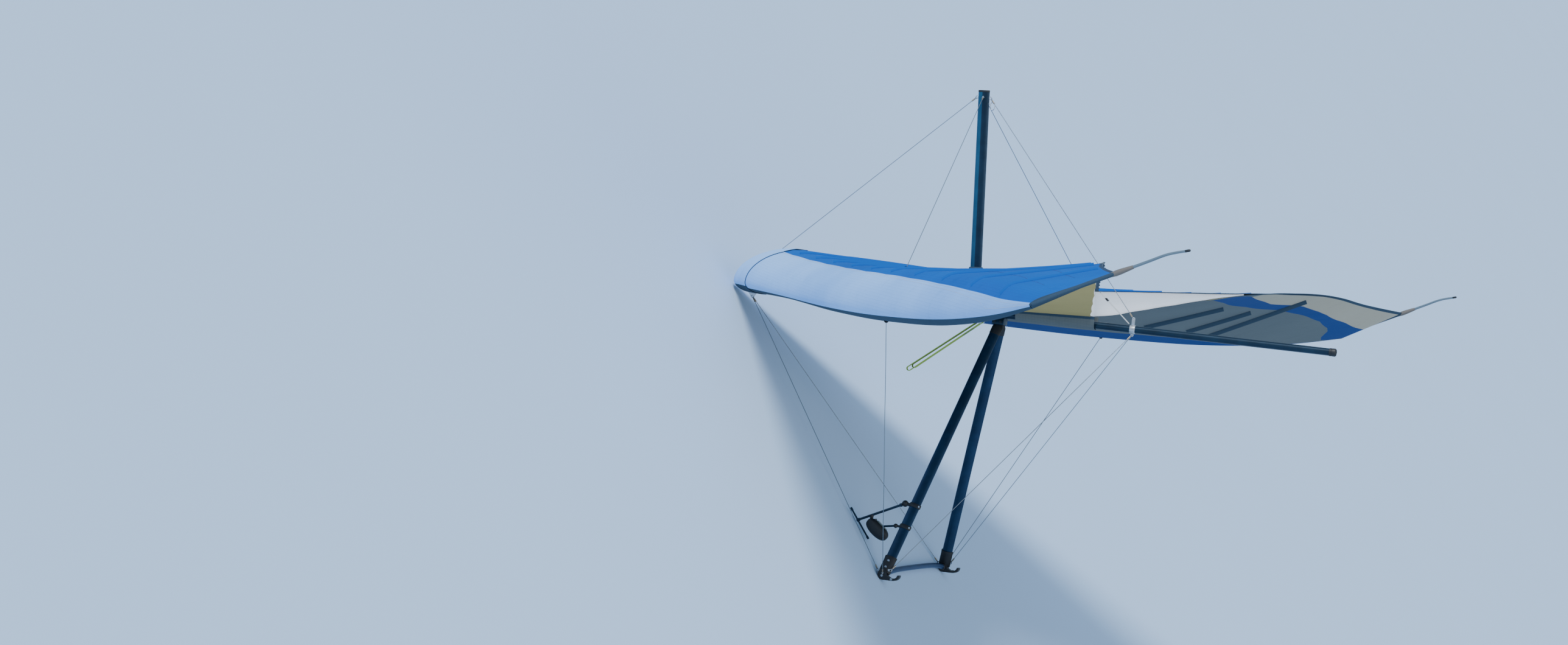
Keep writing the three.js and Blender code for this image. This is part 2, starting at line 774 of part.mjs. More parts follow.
const armBall = raised(INSTRUMENT.ball);
const armEnd = raised(INSTRUMENT.armEnd);
const barEnds = INSTRUMENT.bar.map(raised);
addPiece(
  "instrument_clamp",
  downtubeClamp(
    INSTRUMENT.upperClamp,
    ball(armBall, INSTRUMENT.ballRadius),
    roundBar(armBall, onTube(INSTRUMENT.upperClamp), 12, 8),
  ),
  "blackPlastic",
);
const armStart = armBall.clone().add(armEnd.clone().sub(armBall).setLength(INSTRUMENT.ballRadius + GAP));
addPiece(
  "instrument_arm",
  join(
    roundBar(armStart, armEnd, INSTRUMENT.armRadius, 10),
    roundBar(...barEnds, INSTRUMENT.barRadius, 8),
    ...barEnds.map((end) => ball(end, INSTRUMENT.knobRadius)),
  ),
  "darkTube",
);
const boss = raised(INSTRUMENT.boss);
const rodEnd = raised(INSTRUMENT.rodEnd);
const rodBoreEnd = rodEnd.clone().add(rodEnd.clone().sub(boss).setLength(GAP));
addPiece(
  "instrument_lower_clamp",
  downtubeClamp(
    INSTRUMENT.lowerClamp,
    roundBar(boss, onTube(INSTRUMENT.lowerClamp), INSTRUMENT.bossRadius, 8),
    roundBar(boss, rodEnd, INSTRUMENT.rodRadius, 8),
  ),
  "blackPlastic",
);
const pod = raised(INSTRUMENT.pod);
const podShape = new THREE.SphereGeometry(INSTRUMENT.podRadius, 14, 10)
  .scale(0.8, INSTRUMENT.podHalfLength / INSTRUMENT.podRadius, 1)
  .rotateX(INSTRUMENT.podTilt)
  .translate(pod.x, pod.y, pod.z);
addPiece(
  "instrument_pod",
  cut(
    join(podShape, roundBar(...INSTRUMENT.stem.map(raised), INSTRUMENT.stemRadius, 8)),
    roundBar(armBall, armEnd, INSTRUMENT.armRadius + GAP, 10),
    roundBar(boss, rodBoreEnd, INSTRUMENT.rodRadius + GAP, 8),
  ),
  "blackPlastic",
);

// The stays. Each runs from an eye to another eye, or to the skin of the sail where it passes inside.

const caster = new THREE.Raycaster();
const skins = glider.children.filter((mesh) => /panel|pocket|cone/.test(mesh.name));
glider.updateMatrixWorld(true);

function leaving(eye, towards, clear = EYE_RADIUS + GAP) {
  return eye.clone().add(towards.clone().sub(eye).setLength(clear));
}

// The last point of a stay from an eye before it would pass into the sail.
function atSkin(eye, towards) {
  const direction = towards.clone().sub(eye).normalize();
  caster.set(eye, direction);
  const hit = caster.intersectObjects(skins)[0];
  const slope = Math.abs(hit.face.normal.dot(direction));
  const back = (STAY_RADIUS * Math.sqrt(1 - slope * slope) + GAP) / slope;
  return hit.point.clone().addScaledVector(direction, -back);
}

function addStay(name, from, to) {
  addPiece(name, roundBar(from, to, STAY_RADIUS, TRIANGLE_SIDES.stay), "steel");
}

const frontRun = [crownEyes.front, NOSE_WIRE_FOOT];
addStay("top_front_stay", leaving(...frontRun), atSkin(...frontRun));
addStay("top_rear_stay", leaving(crownEyes.rear, rearTop), leaving(rearTop, crownEyes.rear));
for (const [side, name] of [[1, "left"], [-1, "right"]]) {
  const flip = new THREE.Vector3(side, 1, 1);
  const { front, rear, outer: outerEye } = cornerEyes(side);
  const junction = JUNCTION.clone().multiply(flip);
  const crownSide = crownEyes.side.clone().multiply(flip);
  addStay(`lower_front_stay_${name}`, leaving(NOSE_EYE, front), leaving(front, NOSE_EYE));
  addStay(`lower_rear_stay_${name}`, leaving(rearFoot, rear), leaving(rear, rearFoot));
  addStay(`lower_side_stay_${name}`, leaving(outerEye, junction), atSkin(outerEye, junction));
  addStay(`top_side_stay_${name}`, leaving(crownSide, junction), atSkin(crownSide, junction));
}

// Parked: tipped forward until the nose and the corners touch one level floor

glider.rotation.x = pitch;
glider.updateMatrixWorld(true);
const whole = new THREE.Box3().setFromObject(glider, true);
const middle = whole.getCenter(new THREE.Vector3());
glider.position.set(-middle.x, -middle.y, -whole.min.z);

const object = new THREE.Group();
object.add(glider);

export default object;
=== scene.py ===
"""The visual model of a hang glider with a kingpost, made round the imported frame.

Shapes are worked out in the glider's own frame, in metres: x to the pilot's left, y aft from the nose and z
up from the middle of the keel tube. Attitude turns them into the row frame, where the glider is parked on
its nose and on the corners of its control bar.
"""

import json
import logging
import math
from collections.abc import Callable, Iterable, Sequence
from dataclasses import dataclass, field
from enum import Enum
from itertools import pairwise

import bmesh
import bpy
import numpy as np
from mathutils import Matrix, Vector

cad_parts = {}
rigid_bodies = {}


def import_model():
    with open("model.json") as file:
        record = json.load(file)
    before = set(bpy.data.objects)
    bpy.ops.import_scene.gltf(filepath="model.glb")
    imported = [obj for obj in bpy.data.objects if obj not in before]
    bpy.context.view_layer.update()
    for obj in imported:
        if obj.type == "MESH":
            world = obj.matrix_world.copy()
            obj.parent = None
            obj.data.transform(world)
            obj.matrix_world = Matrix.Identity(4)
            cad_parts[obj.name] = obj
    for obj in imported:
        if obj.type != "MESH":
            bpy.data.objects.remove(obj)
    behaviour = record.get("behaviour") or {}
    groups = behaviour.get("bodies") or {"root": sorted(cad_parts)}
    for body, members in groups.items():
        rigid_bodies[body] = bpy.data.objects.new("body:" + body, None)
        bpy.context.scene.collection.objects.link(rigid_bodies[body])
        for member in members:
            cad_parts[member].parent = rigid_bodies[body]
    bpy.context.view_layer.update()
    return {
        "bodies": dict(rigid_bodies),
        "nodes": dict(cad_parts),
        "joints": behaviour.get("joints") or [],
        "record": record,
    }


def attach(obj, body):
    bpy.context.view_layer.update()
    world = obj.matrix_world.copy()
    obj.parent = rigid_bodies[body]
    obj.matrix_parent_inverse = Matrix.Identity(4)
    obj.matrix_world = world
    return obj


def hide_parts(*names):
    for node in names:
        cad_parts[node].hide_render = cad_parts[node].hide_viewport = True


Pair = tuple[float, float]
Colour = tuple[float, float, float, float]
Mark = int | Callable[[int, int], int]
Inputs = dict[str | int, object]
Socket = bpy.types.NodeSocket

LOG = logging.getLogger("hang_glider")
GLIDER = "glider"
LOOPS = "hang_loops"
UP = Vector((0, 0, 1))
AFT = Vector((0, 1, 0))
ACROSS = Vector((1, 0, 0))
MIDDLE = Vector((0, 0, 0))
HANG_PIN = Vector((0, 1.490, -0.054))
LEFT_CORNER = Vector((0.728, 1.266, -1.523))
KEEL_FRONT = 0.034
SADDLE = 0.0214
SAME_SPOT = 1e-6
SHARP = math.radians(38)
WAVE_RADIANS = 20


class Side(Enum):
    """The two halves of the glider, named as its pilot sees them."""

    LEFT = 1
    RIGHT = -1

    @property
    def label(self) -> str:
        """The side's name in piece and node names."""
        return self.name.lower()

    def flip(self, point: Vector) -> Vector:
        """The point on this side that a point of the left half has."""
        return Vector((point.x * self.value, point.y, point.z))

    def reach(self, near: float, far: float) -> Pair:
        """Two distances from the keel as places on this side, the lower first."""
        low, high = sorted((self.value * near, self.value * far))
        return low, high


@dataclass(frozen=True)
class Attitude:
    """How the parked glider's own frame lies in the row frame."""

    place: Matrix

    @classmethod
    def parked(cls, pin: Sequence[float]) -> "Attitude":
        """Tips the glider forward until its nose and both corners touch one floor.

        Args:
            pin: The hang pin's place in the row frame, in metres.

        Returns:
            The attitude that brings the glider's hang pin there.
        """
        nose = Vector((0, 0.030, -0.005))
        pitch = math.atan2(nose.z - LEFT_CORNER.z, LEFT_CORNER.y - nose.y)
        turn = Matrix.Rotation(pitch, 4, "X")
        return cls(Matrix.Translation(Vector(pin) - turn @ HANG_PIN) @ turn)

    @property
    def pitch(self) -> float:
        """The angle, in radians, by which the glider is tipped forward."""
        return self.place.to_euler().x


def spot(x: float, y: float, z: float) -> Vector:
    """A dataclass field that holds a point."""
    return field(default_factory=lambda: Vector((x, y, z)))


def evenly(start: float, end: float, count: int) -> list[float]:
    """Values at even steps, with both ends."""
    return [start + (end - start) * k / count for k in range(count + 1)]


def full_turn(count: int) -> list[float]:
    """Even angles once round, in radians."""
    return [math.tau * k / count for k in range(count)]


def arc(radius: float, start: float, end: float, count: int) -> list[Pair]:
    """Points on a circle between two angles in degrees."""
    turns = [math.radians(turn) for turn in evenly(start, end, count)]
    return [(radius * math.cos(turn), radius * math.sin(turn)) for turn in turns]


def circle(radius: float, sides: int) -> list[Pair]:
    """A round section."""
    return [(radius * math.cos(turn), radius * math.sin(turn)) for turn in full_turn(sides)]


def bezier(controls: Sequence[Pair], steps: int) -> list[Pair]:
    """A curve between its first and last control point.

    Args:
        controls: The control points.
        steps: How many edges the curve has.

    Returns:
        Its points after the first one.
    """
    degree = len(controls) - 1
    curve = []
    for t in evenly(0, 1, steps)[1:]:
        shares = [math.comb(degree, n) * (1 - t) ** (degree - n) * t**n for n in range(degree + 1)]
        first = sum(share * control[0] for share, control in zip(shares, controls))
        second = sum(share * control[1] for share, control in zip(shares, controls))
        curve.append((first, second))
    return curve


def rounded_box(width: float, height: float, radius: float, steps: int = 3) -> list[Pair]:
    """A rectangle with round corners.

    Args:
        width: Its first side.
        height: Its second side.
        radius: The corners' radius.
        steps: How many edges each corner has.

    Returns:
        Its points, in order.
    """
    outline = []
    for quarter, (side_x, side_y) in enumerate([(1, 1), (-1, 1), (-1, -1), (1, -1)]):
        centre = (side_x * (width / 2 - radius), side_y * (height / 2 - radius))
        corner = arc(radius, 90 * quarter, 90 * (quarter + 1), steps)
        outline += [(centre[0] + a, centre[1] + b) for a, b in corner]
    return outline


def airfoil_tube(chord: float, thickness: float) -> list[Pair]:
    """The streamlined section of a downtube or kingpost.

    Args:
        chord: Its length fore and aft.
        thickness: Its width.

    Returns:
        Its points, across and aft, in order.
    """
    front, rear, half = -chord / 2, chord / 2, thickness / 2
    steps, tail, widest = 10, 0.0015, front * 0.16
    right = [(0.0, front)]
    right += bezier([(0, front), (half, front), (half, front * 0.28), (half, widest)], steps)
    right += bezier([(half, widest), (half * 0.84, rear * 0.56), (tail, rear)], steps)
    return right + [(-a, b) for a, b in reversed(right[1:])]


def smooth_path(points: Sequence[Vector], steps: int) -> list[Vector]:
    """A smooth line through points.

    Args:
        points: What it passes through.
        steps: How many pieces each of its spans has.

    Returns:
        The line's points.
    """
    line = []
    ends = [points[0] * 2 - points[1], *points, points[-1] * 2 - points[-2]]
    for before, one, other, after in zip(ends, ends[1:], ends[2:], ends[3:]):
        for t in evenly(0, 1, steps)[:-1]:
            straight = one * 2 + (other - before) * t
            square = (before * 2 - one * 5 + other * 4 - after) * t * t
            cube = (one * 3 - before - other * 3 + after) * t**3
            line.append((straight + square + cube) / 2)
    return [*line, points[-1].copy()]


def bellied(start: Vector, end: Vector, steps: int, belly: Vector) -> list[Vector]:
    """Points of a line whose middle lies a belly off the straight way between its ends."""
    return [start.lerp(end, t) + belly * math.sin(math.pi * t) for t in evenly(0, 1, steps)]


def normals_of(grid: np.ndarray) -> np.ndarray:
    """The directions square to a grid of points."""
    normals = np.cross(np.gradient(grid, axis=0), np.gradient(grid, axis=1))
    return normals / np.maximum(np.linalg.norm(normals, axis=2, keepdims=True), SAME_SPOT**2)


def number_at(mark: Mark, i: int, j: int) -> int:
    """The finish number at a place of a surface."""
    return mark(i, j) if callable(mark) else mark


class Draft:
    """The points and faces of one piece while it is made, in the glider's frame."""

    def __init__(self) -> None:
        """Starts an empty draft."""
        self.points: list[Vector] = []
        self.faces: list[tuple[Sequence[int], Sequence[Pair], int]] = []

    def add_rings(self, rings: Sequence[Sequence[Vector]], mark: Mark = 0, ends: bool = True) -> None:
        """Joins closed rings of points that have the same count by quads, with UVs in metres.

        Args:
            rings: The rings, in order.
            mark: The finish number, or a function that gives it from the ring and the place round it.
            ends: True to close the first and the last ring by a face.
        """
        start, count, last = len(self.points), len(rings[0]), len(rings) - 1
        along, round_it = [0.0], [0.0]
        for one, other in pairwise(rings):
            along.append(along[-1] + max((a - b).length for a, b in zip(one, other)))
        for a, b in pairwise([*rings[0], rings[0][0]]):
            round_it.append(round_it[-1] + (b - a).length)
        for ring in rings:
            self.points.extend(ring)
        for i in range(last):
            for k in range(count):
                a, b = start + i * count + k, start + i * count + (k + 1) % count
                uvs = [(round_it[k], along[i]), (round_it[k + 1], along[i])]
                uvs += [(round_it[k + 1], along[i + 1]), (round_it[k], along[i + 1])]
                self.faces.append(((a, b, b + count, a + count), uvs, number_at(mark, i, k)))
        for i, step in ((0, -1), (last, 1)) if ends else ():
            corners = range(start + i * count, start + (i + 1) * count)
            flat = [(far * 0.3, along[i]) for far in round_it[:-1]]
            self.faces.append((corners[::step], flat[::step], number_at(mark, min(i, last - 1), 0)))

    def add_sweep(
        self,
        path: Sequence[Vector],
        section: Sequence[Pair],
        upright: Vector,
        mark: Mark = 0,
        scales: Sequence[float] | None = None,
        closed: bool = False,
    ) -> None:
        """Carries a closed section along a path.

        Args:
            path: The middle of the section at each ring.
            section: The section's points, across the path and towards upright.
            upright: The direction that the section's second axis keeps to.
            mark: The finish number, or a function that gives it.
            scales: The section's scale at each ring.
            closed: True if the path closes on itself.
        """
        rings = []
        for k, point in enumerate(path):
            before = path[k - 1] if k or closed else point
            after = path[(k + 1) % len(path)] if k + 1 < len(path) or closed else point
            ahead = (after - before).normalized()
            across = upright.cross(ahead).normalized()
            high = ahead.cross(across)
            size = scales[k] if scales else 1.0
            rings.append([point + (across * a + high * b) * size for a, b in section])
        if closed:
            rings.append(rings[0])
        self.add_rings(rings, mark, ends=not closed)

    def add_turned(self, foot: Vector, towards: Vector, profile: Sequence[Pair], sides: int) -> None:
        """Turns a profile round an axis, as on a lathe.

        Args:
            foot: Where the axis starts.
            towards: The axis's direction.
            profile: Distances along the axis and radii.
            sides: How many sides the rings have.
        """
        axis = towards.normalized()
        across = axis.orthogonal().normalized()
        high = axis.cross(across)
        spokes = [across * math.cos(turn) + high * math.sin(turn) for turn in full_turn(sides)]
        self.add_rings([[foot + axis * far + spoke * radius for spoke in spokes] for far, radius in profile])

    def add_ball(self, centre: Vector, radius: float) -> None:
        """Adds a ball whose poles are small flats."""
        profile = [(-b, a) for a, b in arc(radius, 84.6, -84.6, 9)]
        self.add_turned(centre, UP, profile, 20)

    def add_plate(
        self,
        outline: Sequence[Pair],
        reach: Pair,
        origin: Vector = MIDDLE,
        axes: tuple[Vector, Vector] = (AFT, UP),
    ) -> None:
        """Makes a flat outline into a plate.

        Args:
            outline: Points along the two axes.
            reach: Where the plate starts and ends, along the axes' cross product.
            origin: Where the axes start.
            axes: The outline's two directions, at right angles.
        """
        first, second = axes
        flat = [origin + first * a + second * b for a, b in outline]
        through = first.cross(second)
        self.add_rings([[point + through * far for point in flat] for far in reach])

    def add_block(self, centre: Vector, size: Sequence[float], tilt: Matrix | None = None) -> None:
        """Adds a block, whose edges the draft's bevel rounds.

        Args:
            centre: The block's middle.
            size: Its three sides.
            tilt: How it is turned.
        """
        turn = tilt or Matrix.Identity(3)
        x, y, z = (side / 2 for side in size)
        outline = [(-x, -y), (x, -y), (x, y), (-x, y)]
        self.add_plate(outline, (-z, z), centre, (turn @ ACROSS, turn @ AFT))

    def add_ring(self, centre: Vector, axis: Vector, radius: float, wire: float) -> None:
        """Adds a round ring of round wire.

        Args:
            centre: The ring's middle.
            axis: The direction through the ring.
            radius: From the ring's middle to the wire's.
            wire: The wire's radius.
        """
        first = axis.orthogonal().normalized()
        second = axis.cross(first)
        path = [centre + first * a + second * b for a, b in circle(radius, 20)]
        self.add_sweep(path, circle(wire, 10), axis, closed=True)

    def add_sheet(
        self, grid: Sequence[Sequence[Vector]], thickness: float, sign: int, marks: tuple[Mark, Mark, int]
    ) -> Pair:
        """Adds a closed thin sheet whose outer face is the grid.

        Args:
            grid: Rows of points, all of the same count.
            thickness: How thick the sheet is.
            sign: 1 if the cross product of rows and columns points outwards, or else -1.
            marks: Finish numbers of the outer face, the inner face and the rim.

        Returns:
            The longest run across the columns and along the rows, which a flat cut needs.
        """
        outer = np.array([[tuple(point) for point in row] for row in grid])
        inner = outer - normals_of(outer) * sign * thickness
        rows, columns = outer.shape[:2]
        down, over = np.zeros((rows, columns)), np.zeros((rows, columns))
        down[1:] = np.cumsum(np.linalg.norm(np.diff(outer, axis=0), axis=2), axis=0)
        over[:, 1:] = np.cumsum(np.linalg.norm(np.diff(outer, axis=1), axis=2), axis=1)
        start = len(self.points)
        self.points.extend(Vector(point) for layer in (outer, inner) for row in layer for point in row)

        def number(layer: int, i: int, j: int) -> int:
            """The number of a point of the sheet."""
            return start + layer * rows * columns + i * columns + j

        def uvs(places: Iterable[tuple[int, int]]) -> list[Pair]:
            """The UVs at places of the grid."""
            return [(float(down[place]), float(over[place])) for place in places]

        for layer in (0, 1):
            for i in range(rows - 1):
                for j in range(columns - 1):
                    places = [(i, j), (i + 1, j), (i + 1, j + 1), (i, j + 1)][:: -1 if layer else 1]
                    corners = [number(layer, *place) for place in places]
                    self.faces.append((corners, uvs(places), number_at(marks[layer], i, j)))
        border = [(i, 0) for i in range(rows - 1)] + [(rows - 1, j) for j in range(columns - 1)]
        border += [(i, columns - 1) for i in range(rows - 1, 0, -1)]
        border += [(0, j) for j in range(columns - 1, 0, -1)]
        for one, other in pairwise([*border, border[0]]):
            corners = [number(0, *other), number(0, *one), number(1, *one), number(1, *other)]
            self.faces.append((corners, uvs((other, one, one, other)), marks[2]))
        return float(down[-1].max()), float(over[:, -1].max())

    def to_mesh(self, name: str, place: Matrix, bevel: float) -> bpy.types.Mesh:
        """Makes the draft a closed mesh with outward faces.

        Args:
            name: The mesh's name.
            place: Where the draft's frame lies in the row frame.
            bevel: How much its sharp edges are rounded, in metres.

        Returns:
            The finished mesh, in the row frame.
        """
        work = bmesh.new()
        layer = work.loops.layers.uv.new("UVMap")
        verts = [work.verts.new(point) for point in self.points]
        for corners, uvs, mark in self.faces:
            face = work.faces.new([verts[k] for k in corners])
            face.material_index = mark
            for loop, uv in zip(face.loops, uvs):
                loop[layer].uv = uv
        bmesh.ops.remove_doubles(work, verts=work.verts, dist=SAME_SPOT)
        bmesh.ops.recalc_face_normals(work, faces=work.faces)
        if bevel:
            edges = [edge for edge in work.edges if edge.is_manifold and edge.calc_face_angle(0) > SHARP]
            look = {"segments": 2, "profile": 0.6, "affect": "EDGES", "clamp_overlap": True}
            bmesh.ops.bevel(work, geom=edges, offset=bevel, offset_type="OFFSET", **look)
        mesh = bpy.data.meshes.new(name)
        work.to_mesh(mesh)
        work.free()
        mesh.transform(place)
        mesh.shade_smooth()
        mesh.set_sharp_from_angle(angle=SHARP)
        return mesh


class Wiring:
    """A short way to add nodes to a tree and to link them."""

    def __init__(self, tree: bpy.types.NodeTree) -> None:
        """Keeps the tree that the nodes go into."""
        self.tree = tree

    def feed(self, socket: Socket, value: object) -> None:
        """Links an input to an output socket, or sets its value.

        Args:
            socket: The input.
            value: An output socket, or a value.
        """
        if isinstance(value, Socket):
            self.tree.links.new(value, socket)
        else:
            socket.default_value = value

    def node(self, kind: str, inputs: Inputs | None = None, **settings: object) -> bpy.types.Node:
        """Adds a node.

        Args:
            kind: The node's type.
            inputs: Values or sockets for its inputs, by name or number.
            settings: Its own settings.

        Returns:
            The new node.
        """
        node = self.tree.nodes.new(kind)
        for key, value in settings.items():
            setattr(node, key, value)
        for key, value in (inputs or {}).items():
            self.feed(node.inputs[key], value)
        return node

    def first(self, kind: str, inputs: Inputs | None = None, **settings: object) -> Socket:
        """The first output of a new node."""
        return self.node(kind, inputs, **settings).outputs[0]

    def math(self, operation: str, *values: object) -> Socket:
        """A sum, product or other operation on sockets and values."""
        return self.first("ShaderNodeMath", dict(enumerate(values)), operation=operation)


class Graph(Wiring):
    """A material's node tree, written in patterns."""

    def __init__(self, name: str) -> None:
        """Starts a material with one Principled shader.

        Args:
            name: The material's name.
        """
        self.material = bpy.data.materials.new(name)
        self.material.use_nodes = True
        super().__init__(self.material.node_tree)

    def coords(self, kind: str = "UV", scale: Sequence[float] = (1, 1, 1)) -> Socket:
        """The surface's UV or Object coordinates, each axis stretched by its scale."""
        source = self.node("ShaderNodeTexCoord").outputs[kind]
        return self.first("ShaderNodeMapping", {"Vector": source, "Scale": tuple(scale)})

    def noise(self, vector: Socket, scale: float, detail: float = 3.0, rough: float = 0.5) -> Socket:
        """A noise value from 0 to 1, its finer layers counted by detail and as strong as rough says."""
        inputs = {"Vector": vector, "Scale": scale, "Detail": detail, "Roughness": rough}
        return self.node("ShaderNodeTexNoise", inputs).outputs["Fac"]

    def wave(self, vector: Socket, pitch: float, axis: str = "X") -> Socket:
        """Even bands from 0 to 1, a pitch apart across an axis, or two pitches where they slant."""
        inputs = {"Vector": vector, "Scale": math.tau / WAVE_RADIANS / pitch}
        return self.node("ShaderNodeTexWave", inputs, bands_direction=axis).outputs["Fac"]

    def spread(self, value: Socket, low: float, high: float) -> Socket:
        """A value from 0 to 1 spread over another range."""
        return self.first("ShaderNodeMapRange", {"Value": value, "To Min": low, "To Max": high})

    def edge(self, value: Socket, start: float, end: float) -> Socket:
        """A smooth step, 0 before its start and 1 after its end."""
        inputs = {"Value": value, "From Min": start, "From Max": end}
        return self.first("ShaderNodeMapRange", inputs, interpolation_type="SMOOTHSTEP")

    def mix(self, share: object, first: object, second: object) -> Socket:
        """The first colour with a share of the second blended into it."""
        return self.node("ShaderNodeMix", {0: share, 6: first, 7: second}, data_type="RGBA").outputs[2]

    def bump(self, height: Socket, depth: float, below: Socket | None = None) -> Socket:
        """A relief.

        Args:
            height: The relief's height from 0 to 1.
            depth: What 1 is, in metres.
            below: A relief that this one lies on.

        Returns:
            The normal.
        """
        inputs = {"Height": height, "Distance": depth, "Strength": 1.0}
        if below is not None:
            inputs["Normal"] = below
        return self.first("ShaderNodeBump", inputs)

    def done(self, **inputs: object) -> bpy.types.Material:
        """Sets the shader's inputs.

        Args:
            inputs: Values or sockets, with spaces in their names written as underscores.

        Returns:
            The finished material.
        """
        shader = self.tree.nodes["Principled BSDF"]
        for key, value in inputs.items():
            self.feed(shader.inputs[key.replace("_", " ")], value)
        return self.material


def rgb(red: int, green: int, blue: int) -> Colour:
    """A colour as a shader takes it.

    Args:
        red: Red as a screen shows it, from 0 to 255.
        green: Green.
        blue: Blue.

    Returns:
        The linear colour.
    """
    shares = (value / 255 for value in (red, green, blue))
    linear = [s / 12.92 if s <= 0.04045 else ((s + 0.055) / 1.055) ** 2.4 for s in shares]
    return (*linear, 1.0)


def toned(colour: Colour, times: float, lift: float = 0.0) -> Colour:
    """A colour made darker or paler."""
    return (*(min(1.0, value * times + lift) for value in colour[:3]), 1.0)


@dataclass(frozen=True)
class Sailcloth:
    """Smooth woven sailcloth with a resin finish and a fine reinforcing grid."""

    name: str
    colour: Colour
    shade: Colour
    roughness: float = 0.5
    crinkle: float = 0.0011
    # share of painted fold shade, blended towards the shade colour in large soft patches
    fold_shade: float = 0.5
    # painted glow: emission in the cloth's own colour, painted light as if the sun shone through the cloth
    painted_glow: float = 0.0
    grid: float = 0.01777

    def build(self) -> bpy.types.Material:
        """Wires the cloth's pattern, in metres on its own UV map.

        Returns:
            The finished material.
        """
        graph = Graph(self.name)
        cloth = graph.coords()
        # large soft patches towards the shade colour: painted shade of soft folds
        fold_shade_patches = graph.edge(graph.noise(cloth, 0.9), 0.3, 0.75)
        grime = graph.edge(graph.noise(cloth, 9.0, 5.0, 0.62), 0.52, 0.8)
        colour = graph.mix(graph.math("MULTIPLY", fold_shade_patches, self.fold_shade), self.colour, self.shade)
        dull = toned(self.shade, 0.72)
        colour = graph.mix(graph.math("MULTIPLY", grime, 0.16), colour, dull)
        warp = graph.edge(graph.wave(cloth, self.grid), 0.9, 0.99)
        weft = graph.edge(graph.wave(cloth, self.grid, "Y"), 0.9, 0.99)
        threads = graph.math("MAXIMUM", warp, weft)
        normal = graph.bump(graph.noise(cloth, 5.5, 4.0, 0.55), self.crinkle * 4)
        normal = graph.bump(graph.noise(cloth, 34.0), self.crinkle, normal)
        rough = graph.noise(cloth, 14.0)
        return graph.done(
            Base_Color=graph.mix(graph.math("MULTIPLY", threads, 0.12), colour, dull),
            Roughness=graph.spread(rough, self.roughness - 0.09, self.roughness + 0.12),
            Normal=graph.bump(threads, 0.00022, normal),
            Sheen_Weight=0.04,
            Sheen_Roughness=0.4,
            Specular_IOR_Level=0.0,
            # the emission is painted light, a glow as if the cloth were lit through from behind
            Emission_Color=self.colour,
            Emission_Strength=self.painted_glow,
        )


@dataclass(frozen=True)
class Webbing:
    """Flat woven strap with a chevron weave and sewn edges."""

    name: str
    colour: Colour
    shade: Colour
    pitch: float = 0.004343

    def build(self) -> bpy.types.Material:
        """Wires the weave, in metres on the strap's own UV map.

        Returns:
            The finished material.
        """
        graph = Graph(self.name)
        strap = graph.coords()
        picks = graph.wave(strap, self.pitch * 0.7, "DIAGONAL")
        weave = graph.math("MULTIPLY", graph.wave(strap, self.pitch), picks)
        soil = graph.edge(graph.noise(strap, 40.0, 4.0, 0.6), 0.45, 0.8)
        colour = graph.mix(graph.spread(weave, 0.65, 0.0), self.colour, self.shade)
        return graph.done(
            Base_Color=graph.mix(graph.math("MULTIPLY", soil, 0.3), colour, self.shade),
            Roughness=graph.spread(weave, 0.86, 0.68),
            Normal=graph.bump(weave, 0.0005),
            Sheen_Weight=0.08,
        )


@dataclass(frozen=True)
class Anodised:
    """Drawn aluminium tube with a coloured anodised skin, rubbed along its length."""

    name: str
    colour: Colour
    shade: Colour
    roughness: float = 0.34
    metallic: float = 0.55

    def build(self) -> bpy.types.Material:
        """Wires the drawing lines, along the tube's own UV map.

        Returns:
            The finished material.
        """
        graph = Graph(self.name)
        lines = graph.noise(graph.coords(scale=(1, 0.02, 1)), 900.0, 3.0, 0.6)
        clouds = graph.noise(graph.coords(), 7.0, 4.0, 0.55)
        rubs = graph.edge(graph.noise(graph.coords(scale=(1, 0.16, 1)), 60.0, 5.0, 0.65), 0.63, 0.75)
        colour = graph.mix(graph.edge(clouds, 0.3, 0.7), self.colour, self.shade)
        worn = toned(self.colour, 3.2, 0.02)
        return graph.done(
            Base_Color=graph.mix(graph.math("MULTIPLY", rubs, 0.35), colour, worn),
            Roughness=graph.spread(lines, self.roughness - 0.07, self.roughness + 0.08),
            Metallic=self.metallic,
            Normal=graph.bump(lines, 0.00008),
        )


@dataclass(frozen=True)
class Steel:
    """Satin stainless fitting with fine grinding lines and small dings."""

    name: str
    colour: Colour
    roughness: float = 0.3

    def build(self) -> bpy.types.Material:
        """Wires the surface's fine marks, on object coordinates.

        Returns:
            The finished material.
        """
        graph = Graph(self.name)
        grind = graph.noise(graph.coords("Object", (1, 14, 14)), 120.0, 3.0, 0.6)
        stain = graph.edge(graph.noise(graph.coords("Object"), 55.0, 4.0, 0.6), 0.5, 0.75)
        share = graph.math("MULTIPLY", stain, 0.45)
        return graph.done(
            Base_Color=graph.mix(share, self.colour, toned(self.colour, 0.55)),
            Roughness=graph.spread(grind, self.roughness - 0.08, self.roughness + 0.16),
            Metallic=0.92,
            Normal=graph.bump(grind, 0.00006),
        )


@dataclass(frozen=True)
class Strand:
    """Stranded stainless wire, its lay shown as slanting ridges."""

    name: str
    colour: Colour
    girth: float = 0.00733
    lay: float = 0.00628

    def build(self) -> bpy.types.Material:
        """Wires the lay of the strands, on the wire's own UV map.

        Returns:
            The finished material.
        """
        graph = Graph(self.name)
        ridges = graph.wave(graph.coords(scale=(1 / self.girth, 1 / self.lay, 1)), 0.5, "DIAGONAL")
        return graph.done(
            Base_Color=graph.mix(ridges, toned(self.colour, 0.35), self.colour),
            Roughness=graph.spread(ridges, 0.5, 0.3),
            Metallic=0.85,
            Normal=graph.bump(ridges, 0.0004),
        )


